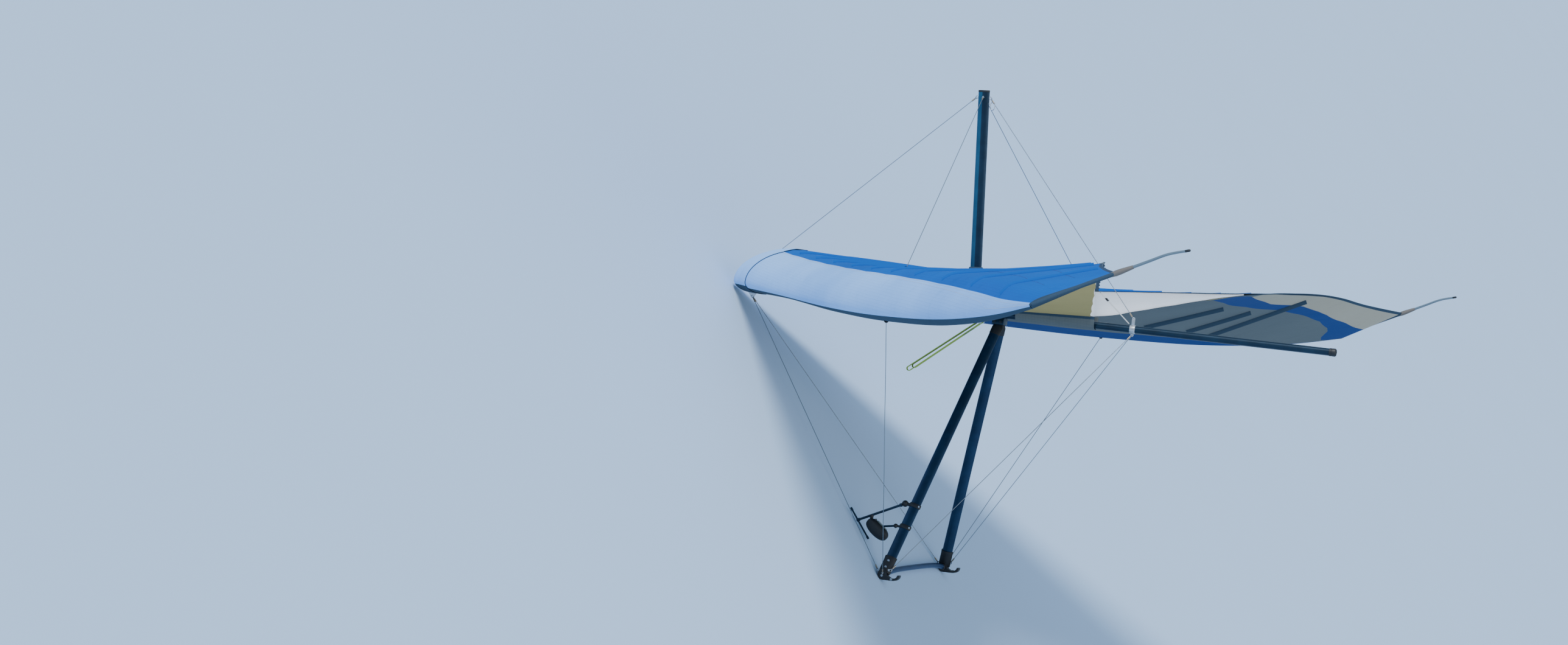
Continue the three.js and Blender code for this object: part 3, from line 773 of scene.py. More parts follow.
@dataclass(frozen=True)
class Moulded:
    """Moulded plastic or rubber with a fine leathery grain and paler scuffs."""

    name: str
    colour: Colour
    roughness: float = 0.5
    grain: float = 0.00012
    coat: float = 0.0

    def build(self) -> bpy.types.Material:
        """Wires the surface's fine marks, on object coordinates.

        Returns:
            The finished material.
        """
        graph = Graph(self.name)
        grain = graph.noise(graph.coords("Object"), 900.0, 2.0)
        scuffs = graph.edge(graph.noise(graph.coords("Object", (1, 1, 3)), 70.0, 5.0, 0.65), 0.6, 0.75)
        share = graph.math("MULTIPLY", scuffs, 0.5)
        return graph.done(
            Base_Color=graph.mix(share, self.colour, toned(self.colour, 1.8, 0.035)),
            Roughness=graph.spread(grain, self.roughness - 0.08, self.roughness + 0.12),
            Normal=graph.bump(grain, self.grain),
            Coat_Weight=self.coat,
        )


@dataclass(frozen=True)
class Fibreglass:
    """Pulled fibreglass rod with long fibre streaks under a clear coat."""

    name: str
    colour: Colour
    shade: Colour

    def build(self) -> bpy.types.Material:
        """Wires the fibres, along the rod's own UV map.

        Returns:
            The finished material.
        """
        graph = Graph(self.name)
        fibres = graph.noise(graph.coords(scale=(1, 0.01, 1)), 1200.0, 3.0, 0.6)
        return graph.done(
            Base_Color=graph.mix(graph.edge(fibres, 0.3, 0.7), self.colour, self.shade),
            Roughness=graph.spread(fibres, 0.3, 0.45),
            Normal=graph.bump(fibres, 0.00006),
            Coat_Weight=0.25,
        )


@dataclass(frozen=True)
class StudioFloor:
    """Pale painted studio floor."""

    name: str
    colour: Colour

    def build(self) -> bpy.types.Material:
        """Wires the surface's fine marks, on object coordinates.

        Returns:
            The finished material.
        """
        graph = Graph(self.name)
        tone = graph.noise(graph.coords("Object"), 0.35)
        return graph.done(Base_Color=graph.mix(tone, self.colour, toned(self.colour, 0.97)), Roughness=0.85)


class Finish(Enum):
    """The finishes of the glider's pieces."""

    # white cloth coloured pale blue with a deeper blue shade: painted sky reflection and painted shade
    WHITE_CLOTH = Sailcloth("white_cloth", rgb(158, 204, 255), rgb(106, 160, 224), fold_shade=0.6)
    # near-white pale cloth with a painted glow: painted light shining through the cloth
    PALE_CLOTH = Sailcloth("pale_cloth", rgb(248, 251, 255), rgb(232, 240, 252), 0.55, painted_glow=0.25)
    BLUE_CLOTH = Sailcloth("blue_cloth", rgb(24, 96, 180), rgb(12, 64, 138), 0.44, fold_shade=0.4)
    DEEP_CLOTH = Sailcloth("deep_blue_cloth", rgb(44, 74, 128), rgb(34, 62, 114), 0.5)
    GREY_CLOTH = Sailcloth("grey_cloth", rgb(104, 111, 112), rgb(86, 95, 99), 0.55)
    CREAM_CLOTH = Sailcloth("cream_cloth", rgb(186, 164, 106), rgb(160, 140, 88), 0.55)
    TAN_CLOTH = Sailcloth("tan_cloth", rgb(178, 171, 153), rgb(162, 153, 134), 0.58)
    HEM = Sailcloth("dark_hem_tape", rgb(62, 80, 96), rgb(48, 66, 82), 0.6, 0.0006)
    GREEN_WEBBING = Webbing("green_webbing", rgb(182, 214, 60), rgb(112, 142, 34))
    WHITE_WEBBING = Webbing("white_webbing", rgb(222, 226, 226), rgb(170, 176, 178))
    THREAD = Webbing("stitch_thread", rgb(226, 232, 240), rgb(176, 186, 200), 0.001184)
    DARK_THREAD = Webbing("dark_thread", rgb(20, 68, 138), rgb(14, 50, 108), 0.001184)
    TUBE = Anodised("dark_tube", rgb(22, 50, 70), rgb(14, 38, 56))
    DOWNTUBE = Anodised("downtube_tube", rgb(26, 59, 88), rgb(18, 46, 72))
    BAR_TUBE = Anodised("base_bar_tube", rgb(12, 66, 114), rgb(8, 54, 98), 0.42, 0.8)
    # paler copy of the dark tube for the kingpost's front: a painted highlight
    TUBE_PAINTED_HIGHLIGHT = Anodised("dark_tube_painted_highlight", rgb(34, 86, 112), rgb(26, 74, 98), 0.3)
    STEEL = Steel("steel", rgb(196, 200, 204))
    BOLT = Steel("bolt_steel", rgb(168, 172, 176), 0.24)
    BLACK_BOLT = Steel("blackened_bolt", rgb(52, 58, 64), 0.4)
    COPPER = Steel("nickel_swage", rgb(176, 160, 138), 0.28)
    WIRE = Strand("wire", rgb(160, 170, 180))
    PLASTIC = Moulded("black_plastic", rgb(24, 27, 31))
    GREY_PLASTIC = Moulded("grey_plastic", rgb(84, 92, 100), 0.45)
    SCREEN = Moulded("instrument_screen", rgb(58, 72, 66), 0.12, 0.0, 0.6)
    ROD = Fibreglass("wand_rod", rgb(104, 122, 134), rgb(74, 92, 106))
    WRAP = Moulded("wand_sleeve", rgb(104, 98, 92), 0.6)


class Grower(Wiring):
    """A Geometry Nodes tree with named inputs."""

    def __init__(self, name: str, inputs: dict[str, float]) -> None:
        """Starts a tree.

        Args:
            name: The tree's name.
            inputs: The names and defaults of its inputs, whole numbers for seeds.
        """
        super().__init__(bpy.data.node_groups.new(name, "GeometryNodeTree"))
        face = self.tree.interface
        face.new_socket("Geometry", in_out="INPUT", socket_type="NodeSocketGeometry")
        for key, value in inputs.items():
            kind = "NodeSocketInt" if isinstance(value, int) else "NodeSocketFloat"
            face.new_socket(key, in_out="INPUT", socket_type=kind).default_value = value
        face.new_socket("Finish", in_out="INPUT", socket_type="NodeSocketMaterial")
        face.new_socket("Geometry", in_out="OUTPUT", socket_type="NodeSocketGeometry")
        self.source = self.tree.nodes.new("NodeGroupInput").outputs

    def line(self, step: str) -> Socket:
        """The lines that the tree is given, cut at even steps.

        Args:
            step: The name of the input that says how long the steps are.

        Returns:
            The cut lines.
        """
        curve = self.first("GeometryNodeMeshToCurve", {"Mesh": self.source["Geometry"]})
        inputs = {"Curve": curve, "Length": self.source[step]}
        return self.first("GeometryNodeResampleCurve", inputs, mode="LENGTH")

    def facing(self, direction: Socket) -> Socket:
        """The turn that brings up to a direction."""
        return self.first("FunctionNodeAlignRotationToVector", {"Vector": direction}, axis="Z")

    def aimed(self) -> Socket:
        """The turn that brings up to each point's aim."""
        aim = self.node("GeometryNodeInputNamedAttribute", {"Name": "aim"}, data_type="FLOAT_VECTOR")
        return self.facing(aim.outputs["Attribute"])

    def chance(self, low: float, high: float) -> Socket:
        """A random value for each point, from the tree's seed."""
        inputs = {2: low, 3: high, "Seed": self.source["Seed"]}
        return self.node("FunctionNodeRandomValue", inputs, data_type="FLOAT").outputs[1]

    def stamp(self, **inputs: Socket) -> bpy.types.NodeTree:
        """Ends the tree in the instances that are put on its points."""
        return self.close(self.first("GeometryNodeInstanceOnPoints", inputs))

    def close(self, geometry: Socket) -> bpy.types.NodeTree:
        """Ends the tree in Realize Instances and Set Material.

        Args:
            geometry: What the tree has made.

        Returns:
            The finished tree.
        """
        real = self.first("GeometryNodeRealizeInstances", {"Geometry": geometry})
        inputs = {"Geometry": real, "Material": self.source["Finish"]}
        self.node("NodeGroupOutput", {"Geometry": self.first("GeometryNodeSetMaterial", inputs)})
        return self.tree


class Trees:
    """The Geometry Nodes trees for what repeats or follows a line."""

    def __init__(self) -> None:
        """Builds each tree once."""
        self.stitches = self.build_stitches()
        self.tapes = self.build_tapes()
        self.screws = self.build_screws()
        self.swages = self.build_swages()

    @staticmethod
    def build_stitches() -> bpy.types.NodeTree:
        """Short stitches along lines, each a little uneven.

        Returns:
            The finished tree.
        """
        grower = Grower("stitch_run", {"Spacing": 0.02, "Length": 0.012, "Width": 0.002, "Seed": 7})
        half = grower.math("MULTIPLY", grower.source["Width"], 0.5)
        shape = {"Vertices": 6, "Side Segments": 1, "Radius": half, "Depth": grower.source["Length"]}
        return grower.stamp(
            Points=grower.line("Spacing"),
            Instance=grower.first("GeometryNodeMeshCylinder", shape),
            Rotation=grower.facing(grower.first("GeometryNodeInputTangent")),
            Scale=grower.chance(0.85, 1.1),
        )

    @staticmethod
    def build_tapes() -> bpy.types.NodeTree:
        """Flat tapes that follow lines, their flats facing up.

        Returns:
            The finished tree.
        """
        grower = Grower("tape_run", {"Width": 0.03, "Thickness": 0.0012, "Step": 0.03})
        level = grower.first("GeometryNodeSetCurveNormal", {"Curve": grower.line("Step")}, mode="Z_UP")
        size = {"Width": grower.source["Thickness"], "Height": grower.source["Width"]}
        profile = grower.first("GeometryNodeCurvePrimitiveQuadrilateral", size)
        inputs = {"Curve": level, "Profile Curve": profile, "Fill Caps": True}
        return grower.close(grower.first("GeometryNodeCurveToMesh", inputs))

    @staticmethod
    def build_screws() -> bpy.types.NodeTree:
        """Bolt heads on washers at points, each facing its point's aim.

        Returns:
            The finished tree.
        """
        grower = Grower("bolt_heads", {"Radius": 0.005, "Height": 0.004, "Seed": 3})
        radius = grower.source["Radius"]
        top, wide = (grower.math("MULTIPLY", radius, share) for share in (0.9, 1.45))
        head = {"Vertices": 6, "Radius Bottom": radius, "Radius Top": top, "Depth": grower.source["Height"]}
        washer = {"Vertices": 20, "Radius Bottom": wide, "Radius Top": wide, "Depth": 0.0012}
        both = grower.node("GeometryNodeJoinGeometry")
        for shape in (head, washer):
            grower.feed(both.inputs[0], grower.first("GeometryNodeMeshCone", shape | {"Side Segments": 1}))
        roll = grower.first("ShaderNodeCombineXYZ", {"Z": grower.chance(0.0, math.pi)})
        inputs = {"Rotation": grower.aimed(), 1: roll}
        turn = grower.first("FunctionNodeRotateRotation", inputs, rotation_space="LOCAL")
        return grower.stamp(Points=grower.source["Geometry"], Instance=both.outputs[0], Rotation=turn)

    @staticmethod
    def build_swages() -> bpy.types.NodeTree:
        """Pressed sleeves at points, each with three crimps, along its point's aim.

        Returns:
            The finished tree.
        """
        grower = Grower("swages", {"Radius": 0.0045, "Length": 0.022})
        radius, length = grower.source["Radius"], grower.source["Length"]
        shape = {"Vertices": 12, "Side Segments": 7, "Radius": radius, "Depth": length}
        sleeve = grower.first("GeometryNodeMeshCylinder", shape)
        place = grower.first("GeometryNodeInputPosition")
        x, y, z = grower.node("ShaderNodeSeparateXYZ", {"Vector": place}).outputs
        phase = grower.math("MULTIPLY", grower.math("DIVIDE", z, length), 7 * math.pi)
        squeeze = grower.math("MULTIPLY_ADD", grower.math("SINE", phase), 0.12, 0.9)
        inputs = {"X": grower.math("MULTIPLY", x, squeeze), "Y": y, "Z": z}
        moved = {"Geometry": sleeve, "Position": grower.first("ShaderNodeCombineXYZ", inputs)}
        pressed = grower.first("GeometryNodeSetPosition", moved)
        return grower.stamp(Points=grower.source["Geometry"], Instance=pressed, Rotation=grower.aimed())


class Workshop:
    """Turns drafts and grown lines into finished pieces that ride on the frame."""

    def __init__(self, frame: dict, attitude: Attitude) -> None:
        """Keeps what every piece needs.

        Args:
            attitude: Where the glider's frame lies.
        """
        self.frame = frame
        self.attitude = attitude
        self.trees = Trees()
        self.made: dict[Finish, bpy.types.Material] = {}

    def material(self, finish: Finish) -> bpy.types.Material:
        """The material of a finish, made once.

        Args:
            finish: The finish.

        Returns:
            Its material.
        """
        if finish not in self.made:
            self.made[finish] = finish.value.build()
        return self.made[finish]

    def register(
        self, mesh: bpy.types.Mesh, name: str, body: str, stands_for: Iterable[str]
    ) -> bpy.types.Object:
        """Makes a mesh a piece of the glider.

        Args:
            mesh: The piece's mesh, in the row frame.
            name: The piece's name.
            body: The body that it moves with.
            stands_for: The CAD nodes that it replaces.

        Returns:
            The piece.
        """
        mesh.name = name
        piece = bpy.data.objects.new(name, mesh)
        bpy.context.scene.collection.objects.link(piece)
        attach(piece, body)
        if stands_for:
            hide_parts(*stands_for)
        LOG.info("%s: %d faces", name, len(mesh.polygons))
        return piece

    def make(
        self,
        draft: Draft,
        name: str,
        finishes: Sequence[Finish],
        slot: str,
        stands_for: Iterable[str] = (),
        bevel: float = 0.0,
        body: str = GLIDER,
    ) -> bpy.types.Object:
        """Makes a draft a piece of the glider.

        Args:
            draft: The piece's shape, in the glider's frame.
            name: The piece's name.
            finishes: Its finishes, in the order of its finish numbers.
            slot: Not used.
            stands_for: The CAD nodes that it replaces.
            bevel: How much its sharp edges are rounded.
            body: The body that it moves with.

        Returns:
            The piece.
        """
        mesh = draft.to_mesh(name, self.attitude.place, bevel)
        for finish in finishes:
            mesh.materials.append(self.material(finish))
        return self.register(mesh, name, body, stands_for)

    def grow(
        self,
        tree: bpy.types.NodeTree,
        lines: Sequence[Sequence[Vector]],
        values: dict[str, object],
        name: str,
        finish: Finish,
        slot: str,
        body: str = GLIDER,
        aims: Sequence[Vector] = (),
    ) -> None:
        """Runs a Geometry Nodes tree on lines or points, and makes the result a piece.

        Args:
            tree: The tree.
            lines: Lines of points in the glider's frame. Lines of one point are single points.
            values: The tree's inputs, by name.
            name: The piece's name.
            finish: Its finish.
            slot: Not used.
            body: The body that it moves with.
            aims: The direction that each point faces.
        """
        seeds = bpy.data.meshes.new(f"{name}_seeds")
        points, edges = [], []
        for line in lines:
            edges += pairwise(range(len(points), len(points) + len(line)))
            points += line
        seeds.from_pydata(points, edges, [])
        if aims:
            aim = seeds.attributes.new("aim", "FLOAT_VECTOR", "POINT")
            for entry, direction in zip(aim.data, aims):
                entry.vector = direction.normalized()
        carrier = bpy.data.objects.new(f"{name}_carrier", seeds)
        bpy.context.scene.collection.objects.link(carrier)
        modifier = carrier.modifiers.new("grow", "NODES")
        modifier.node_group = tree
        settings = values | {"Finish": self.material(finish)}
        for item in tree.interface.items_tree:
            if item.name in settings:
                modifier[item.identifier] = settings[item.name]
        graph = bpy.context.evaluated_depsgraph_get()
        mesh = bpy.data.meshes.new_from_object(carrier.evaluated_get(graph), depsgraph=graph)
        carrier.modifiers.remove(modifier)
        bpy.data.objects.remove(carrier)
        bpy.data.meshes.remove(seeds)
        mesh.transform(self.attitude.place)
        self.register(mesh, name, body, ())

    def bolt(
        self,
        name: str,
        places: Sequence[Vector],
        size: Pair,
        finish: Finish = Finish.BOLT,
        slot: str = "steel",
        aim: Vector | None = None,
    ) -> None:
        """Puts bolt heads on washers.

        Args:
            name: The piece's name.
            places: Where they sit.
            size: The heads' radius and height.
            finish: Their finish.
            slot: The record's material slot.
            aim: Where they face. Without it each faces away from the keel.
        """
        aims = [aim or ACROSS * math.copysign(1, place.x) for place in places]
        values = {"Radius": size[0], "Height": size[1]}
        self.grow(self.trees.screws, [[place] for place in places], values, name, finish, slot, aims=aims)


class SmoothTable:
    """Smooth values over the span, through the rows of a table."""

    def __init__(self, rows: Sequence[Sequence[float]]) -> None:
        """Works out the slopes at the rows.

        Args:
            rows: In each row, the distance from the middle first and then the values there.
        """
        table = np.array(rows, dtype=float)
        self.spans = table[:, 0]
        self.values = table[:, 1:]
        self.slopes = np.gradient(self.values, self.spans, axis=0)

    def at(self, span: float) -> np.ndarray:
        """The values at a distance from the middle.

        Args:
            span: The distance, in metres.

        Returns:
            The values, from a cubic between the two nearest rows.
        """
        span = min(max(span, self.spans[0]), self.spans[-1])
        k = int(np.clip(np.searchsorted(self.spans, span) - 1, 0, len(self.spans) - 2))
        width = self.spans[k + 1] - self.spans[k]
        t = (span - self.spans[k]) / width
        return (
            (2 * t**3 - 3 * t**2 + 1) * self.values[k]
            + (t**3 - 2 * t**2 + t) * width * self.slopes[k]
            + (3 * t**2 - 2 * t**3) * self.values[k + 1]
            + (t**3 - t**2) * width * self.slopes[k + 1]
        )


@dataclass
class WingForm:
    """The surfaces of the half wing that the cloth is stretched to, symmetric about the keel."""

    # span, leading edge's y and z, trailing edge's y and z, the top's arch and reflex, height of the belly,
    # depth of the leading-edge panel
    stations: SmoothTable = field(
        default_factory=lambda: SmoothTable(
            [
                (0.060, 0.034, 0.025, 2.171, 0.196, 0.188, 0.80, -0.035, 0.219),
                (0.900, 0.514, -0.008, 2.346, 0.232, 0.174, 0.95, -0.045, 0.189),
                (1.800, 1.027, -0.028, 2.535, 0.268, 0.170, 1.05, -0.078, 0.148),
                (2.831, 1.616, -0.025, 2.751, 0.312, 0.166, 0.50, -0.088, 0.092),
                (3.700, 2.160, 0.005, 2.933, 0.330, 0.138, 0.1, -0.062, 0.042),
                (4.350, 2.568, 0.052, 3.080, 0.302, 0.086, 0.0, 0.004, 0.010),
                (4.736, 2.810, 0.090, 3.212, 0.286, 0.014, 0.0, 0.070, 0.004),
            ]
        )
    )
    # span, the lower surface's rear edge as a share of the chord, and how far it hangs below the top there
    rear_edge: SmoothTable = field(
        default_factory=lambda: SmoothTable(
            [
                (0.06, 0.985, 0.148),
                (0.30, 0.985, 0.142),
                (0.60, 0.985, 0.120),
                (1.20, 0.985, 0.076),
                (1.80, 0.985, 0.032),
                (2.10, 0.988, 0.016),
                (2.45, 1.0, 0.005),
                (4.736, 1.0, 0.005),
            ]
        )
    )
    battens: tuple[float, ...] = (0.06, 0.42, 0.80, 1.20, 1.62, 2.05, 2.50, 2.96, 3.42, 3.88, 4.33, 4.736)
    crest_at: float = 0.15
    belly_at: float = 0.05
    puff: float = 0.006
    scallop: float = 0.006

    @property
    def root(self) -> float:
        """Where the half wing starts."""
        return self.battens[0]

    @property
    def tip(self) -> float:
        """Where the half wing ends."""
        return self.battens[-1]

    def spans(self, steps: int = 6) -> list[float]:
        """Distances from the middle, with a column on each batten.

        Args:
            steps: How many columns lie between two battens.

        Returns:
            The distances, in order.
        """
        return [
            one + (other - one) * k / steps for one, other in pairwise(self.battens) for k in range(steps)
        ] + [self.tip]

    def bulge(self, span: float) -> float:
        """How far a place is from the battens beside it.

        Args:
            span: Its distance from the middle.

        Returns:
            0 on a batten, and 1 in the middle of a bay.
        """
        k = int(np.clip(np.searchsorted(self.battens, span) - 1, 0, len(self.battens) - 2))
        share = (span - self.battens[k]) / (self.battens[k + 1] - self.battens[k])
        return math.sin(math.pi * min(max(share, 0.0), 1.0))

    def chord(self, span: float) -> float:
        """The chord at a distance from the middle."""
        row = self.stations.at(span)
        return float(row[2] - row[0])

    def seam(self, span: float) -> float:
        """The share of the chord where the leading-edge panel ends on top."""
        return float(self.stations.at(span)[7]) / self.chord(span)

    def top(self, span: float, share: float, proud: float = 0.0) -> Vector:
        """A point of the top surface.

        Args:
            span: Its distance from the middle.
            share: Its share of the chord.
            proud: How far above the cloth it lies.

        Returns:
            The point, on the left half.
        """
        lead_y, lead_z, trail_y, trail_z, crest, reflex, _, _ = self.stations.at(span)
        if share < self.crest_at:
            arch = math.sqrt(max(0.0, 1 - ((self.crest_at - share) / self.crest_at) ** 2))
        else:
            behind = (share - self.crest_at) / (1 - self.crest_at)
            arch = 1 - behind - reflex * behind**2 * (1 - behind)
        bay = self.bulge(span)
        window = math.sin(math.pi * min(1.0, share * 1.15 + 0.02)) if share < 0.9 else 0.0
        high = lead_z + (trail_z - lead_z) * share + crest * arch + self.puff * bay * max(0.0, window)
        back = (trail_y - lead_y) * share - self.scallop * bay * share**8
        return Vector((span, lead_y + back, high + proud))

    def under(self, span: float, share: float, proud: float = 0.0) -> Vector:
        """A point of the lower surface.

        Args:
            span: Its distance from the middle.
            share: Its share of the chord.
            proud: How far below the cloth it lies.

        Returns:
            The point, on the left half.
        """
        lead_y, lead_z, trail_y, _, _, _, belly, _ = self.stations.at(span)
        rear_share, drop = (float(value) for value in self.rear_edge.at(span))
        rear_z = self.top(span, rear_share).z - drop
        bay = self.bulge(span)
        if share < self.belly_at:
            sink = math.sqrt(max(0.0, 1 - ((self.belly_at - share) / self.belly_at) ** 2))
            high = lead_z + (belly - lead_z) * sink
        else:
            along = (share - self.belly_at) / (rear_share - self.belly_at)
            sag = 0.004 * bay * math.sin(math.pi * min(max(along, 0.0), 1.0))
            high = belly + (rear_z - belly) * along - sag
        back = (trail_y - lead_y) * share - self.scallop * bay * share**8
        return Vector((span, lead_y + back, high - proud))

    def inside(self, point: Vector) -> bool:
        """Tells if a point lies in the sail.

        Args:
            point: The point.

        Returns:
            True between the two surfaces.
        """
        span = min(max(abs(point.x), self.root), self.tip)
        row = self.stations.at(span)
        share = float((point.y - row[0]) / (row[2] - row[0]))
        if not 0 < share < 1:
            return False
        return self.under(span, share).z < point.z < self.top(span, share).z


@dataclass
class Assembly:
    """A group of pieces that one workshop makes."""

    shop: Workshop


@dataclass
class Sail(Assembly):
    """The cloth wing: top, leading-edge and lower cloths, keel strip and pocket, nose cover and trim."""

    form: WingForm = field(default_factory=WingForm)
    cloth: float = 0.0024
    hem: float = 0.020
    strip_half: float = 0.060
    strip_start: float = 0.150
    stitch_lift: float = 0.0006

    def build(self) -> None:
        """Makes every cloth and its trim."""
        for side in Side:
            self.top_cloth(side)
            self.leading_cloth(side)
            self.under_cloth(side)
            self.rear_web(side)
            self.tip_cloth(side)
            self.trim(side)
        self.keel_cloth()
        self.keel_pocket()
        self.nose_cover()

    def sew(
        self,
        name: str,
        grid: Sequence[Sequence[Vector]],
        sign: int,
        marks: tuple[Mark, Mark, int],
        finishes: Sequence[Finish],
        slot: str,
        held_by: Sequence[str],
        stands_for: Sequence[str] = (),
        thin: float = 1.0,
    ) -> None:
        """Args:
            name: The cloth's name.
            grid: Its outer face, in rows of points.
            sign: 1 if the cross product of rows and columns points outwards, or else -1.
            marks: Finish numbers of the outer face, the inner face and the rim.
            finishes: Its finishes, in the order of their numbers.
            slot: The record's material slot.
            held_by: Not used.
            stands_for: The CAD nodes that it replaces.
            thin: Its thickness as a share of the sail's.
        """
        draft = Draft()
        width, length = draft.add_sheet(grid, self.cloth * thin, sign, marks)
        piece = self.shop.make(draft, name, finishes, slot, stands_for)

    def top_cloth(self, side: Side) -> None:
        """The blue top behind the leading-edge panel, grey inside.

        Args:
            side: The half of the wing.
        """
        form, steps = self.form, 26
        grid = []
        for span in form.spans():
            hem = self.hem / form.chord(span)
            shares = [*evenly(form.seam(span), 1 - hem, steps), 1 - hem / 2, 1.0]
            grid.append([side.flip(form.top(span, share)) for share in shares])
        marks = (lambda i, j: 1 if j >= steps else 0, lambda i, j: 1 if j >= steps else 2, 1)
        finishes = [Finish.BLUE_CLOTH, Finish.HEM, Finish.GREY_CLOTH]
        panels = [f"{name}_{side.label}" for name in ("main_panel", "trailing_panel", "tip_panel")]
        name = f"top_cloth_{side.label}"
        self.sew(name, grid, side.value, marks, finishes, "blue_cloth", ["keel_tube"], panels)

    def leading_cloth(self, side: Side) -> None:
        """The white panel round the leading edge, with a dark tape along its lower edge.

        Args:
            side: The half of the wing.
        """
        form, tape_from = self.form, 18
        grid = []
        for span in form.spans():
            over = [form.top(span, form.seam(span) * share**2) for share in evenly(1, 0, 14)]
            below = [form.under(span, form.belly_at * share**2) for share in evenly(0, 1, 9)[1:]]
            grid.append([side.flip(point) for point in over + below])
        marks = (lambda i, j: 1 if j >= tape_from else 0, 0, 1)
        finishes, nodes = [Finish.WHITE_CLOTH, Finish.HEM], [f"leading_edge_panel_{side.label}"]
        name, held_by = f"leading_cloth_{side.label}", [f"top_cloth_{side.label}"]
        self.sew(name, grid, -side.value, marks, finishes, "white_cloth", held_by, nodes)

    def under_cloth(self, side: Side) -> None:
        """The lower surface: grey, with a blue front strip, a blue slanting band and a tan tip.

        Args:
            side: The half of the wing.
        """
        form, spans = self.form, self.form.spans()
        band_front = [(1.90, 0.77), (2.04, 0.893), (2.69, 0.758), (3.08, 0.723), (3.40, 0.718), (3.77, 0.68)]
        band_front += [(4.11, 0.602), (4.38, 0.43), (4.50, 0.12), (4.60, 0.06)]
        band_rear = [(2.33, 0.975), (2.70, 0.89), (3.12, 0.81), (3.57, 0.812), (4.03, 0.73), (4.42, 0.60)]
        band_rear.append((4.736, 0.40))
        least, steps = 0.012, (3, 12, 6, 8)
        grid = []
        for span in spans:
            rear, hem = float(form.rear_edge.at(span)[0]), self.hem / form.chord(span)
            strip = float(np.interp(span, [3.3, 4.1], [0.15, form.belly_at + least]))
            low = max(float(np.interp(span, *zip(*band_front))), strip + least)
            high = max(min(float(np.interp(span, *zip(*band_rear))), rear - hem - 0.02), low + least)
            stops = pairwise((form.belly_at, strip, low, high, rear - hem))
            shares = [share for stop, count in zip(stops, steps) for share in evenly(*stop, count)[:-1]]
            shares += [rear - hem, rear - hem / 2, rear]
            grid.append([side.flip(form.under(span, share)) for share in shares])
        zones = [zone for zone, count in enumerate((*steps, 2)) for _ in range(count)]

        def colour(i: int, j: int) -> int:
            """The finish of a quad.

            Args:
                i: Its column over the span.
                j: Its place along the chord.

            Returns:
                0 for grey, 1 for blue, 2 for tan, 3 for the hem and 4 for cream.
            """
            span, zone = spans[i], zones[j]
            if zone < 2:
                return 1 - zone
            if span < 2.04:
                return 4
            if zone == 4:
                return 3
            if zone == 2:
                return 1 if span > 2.12 else 0
            return 2 if span > 2.45 else 0

        finishes = [Finish.GREY_CLOTH, Finish.DEEP_CLOTH, Finish.TAN_CLOTH, Finish.HEM, Finish.CREAM_CLOTH]
        name, held_by = f"under_cloth_{side.label}", [f"leading_cloth_{side.label}"]
        self.sew(name, grid, -side.value, (colour, 0, 3), finishes, "blue_cloth", held_by)

    def rear_web(self, side: Side) -> None:
        """The white web that closes the wing from the lower surface's rear edge up to the top cloth.

        Args:
            side: The half of the wing.
        """
        form, grid = self.form, []
        for span in [0.0, 0.03] + [span for span in form.spans() if span < 2.2]:
            share = float(form.rear_edge.at(span)[0]) - 0.004
            low, high = form.under(span, share, -self.cloth), form.top(span, share, -self.cloth * 1.5)
            grid.append([side.flip(point) for point in bellied(low, high, 8, AFT * 0.004)])
        name, held_by = f"rear_web_{side.label}", [f"under_cloth_{side.label}"]
        # the pale cloth glows by emission, painted light through the web
        self.sew(name, grid, side.value, (0, 0, 0), [Finish.PALE_CLOTH], "white_cloth", held_by, thin=0.5)

    def tip_cloth(self, side: Side) -> None:
        """The cloth that closes the tip, bulging a little between its two edges.

        Args:
            side: The half of the wing.
        """
        form, out, grid = self.form, ACROSS * (self.cloth / 2), []
        for share in evenly(0.002, 0.998, 20):
            top, under = form.top(form.tip, share) + out, form.under(form.tip, share) + out
            grid.append([side.flip(point) for point in bellied(top, under, 6, ACROSS * 0.006)])
        name, held_by = f"tip_cloth_{side.label}", [f"top_cloth_{side.label}"]
        self.sew(name, grid, -side.value, (0, 0, 0), [Finish.HEM], "tan_cloth", held_by)

    def trim(self, side: Side) -> None:
        """Batten pockets, seam stitches and lower ribs of one half, the ribs' dark tapes partly painted
        shadow.

        Args:
            side: The half of the wing.
        """
        form, shop, label, lift = self.form, self.shop, side.label, self.stitch_lift
        pockets = []
        for span in form.battens[1:-1]:
            shares = evenly(form.seam(span) + 0.02, 0.93, 30)
            pockets.append([side.flip(form.top(span, share, 0.0004)) for share in shares])
        tape = {"Width": 0.026, "Thickness": 0.0006, "Step": 0.04}
        tapes, stitches = shop.trees.tapes, shop.trees.stitches
        shop.grow(tapes, pockets, tape, f"batten_pockets_{label}", Finish.BLUE_CLOTH, "blue_cloth")
        # dark tapes at three spans: partly rib sleeves, partly a painted shadow of the ribs seen through the
        # cloth
        rib_bars_and_shadows = ((3.40, 0.24, 0.91), (3.13, 0.29, 0.68), (2.70, 0.31, 0.72))
        ribs_and_shadows = []
        for span, start, end in rib_bars_and_shadows:
            ribs_and_shadows.append([side.flip(form.under(span, share, 0.0008)) for share in evenly(start, end, 20)])
        shop.grow(tapes, ribs_and_shadows, tape | {"Width": 0.05}, f"under_ribs_{label}", Finish.HEM, "blue_cloth")
        spans, seams, hems = form.spans(4), [], []
        for back in (0.015, 0.005):
            seams.append([side.flip(form.top(s, form.seam(s) - back / form.chord(s), lift)) for s in spans])
        stitch = {"Spacing": 0.02, "Length": 0.013, "Width": 0.0018}
        shop.grow(stitches, seams, stitch, f"seam_stitches_{label}", Finish.THREAD, "white_cloth")
        for back in (0.004, 0.016):
            hems.append([side.flip(form.top(s, 1 - back / form.chord(s), lift)) for s in spans])
        inner = [s for s in spans if 0.2 < s < 4.6]
        for share in (0.3, 0.62):
            hems.append([side.flip(form.top(s, form.seam(s) * (1 - share) + share, lift)) for s in inner])
        shop.grow(stitches, hems, stitch, f"hem_stitches_{label}", Finish.DARK_THREAD, "blue_cloth")

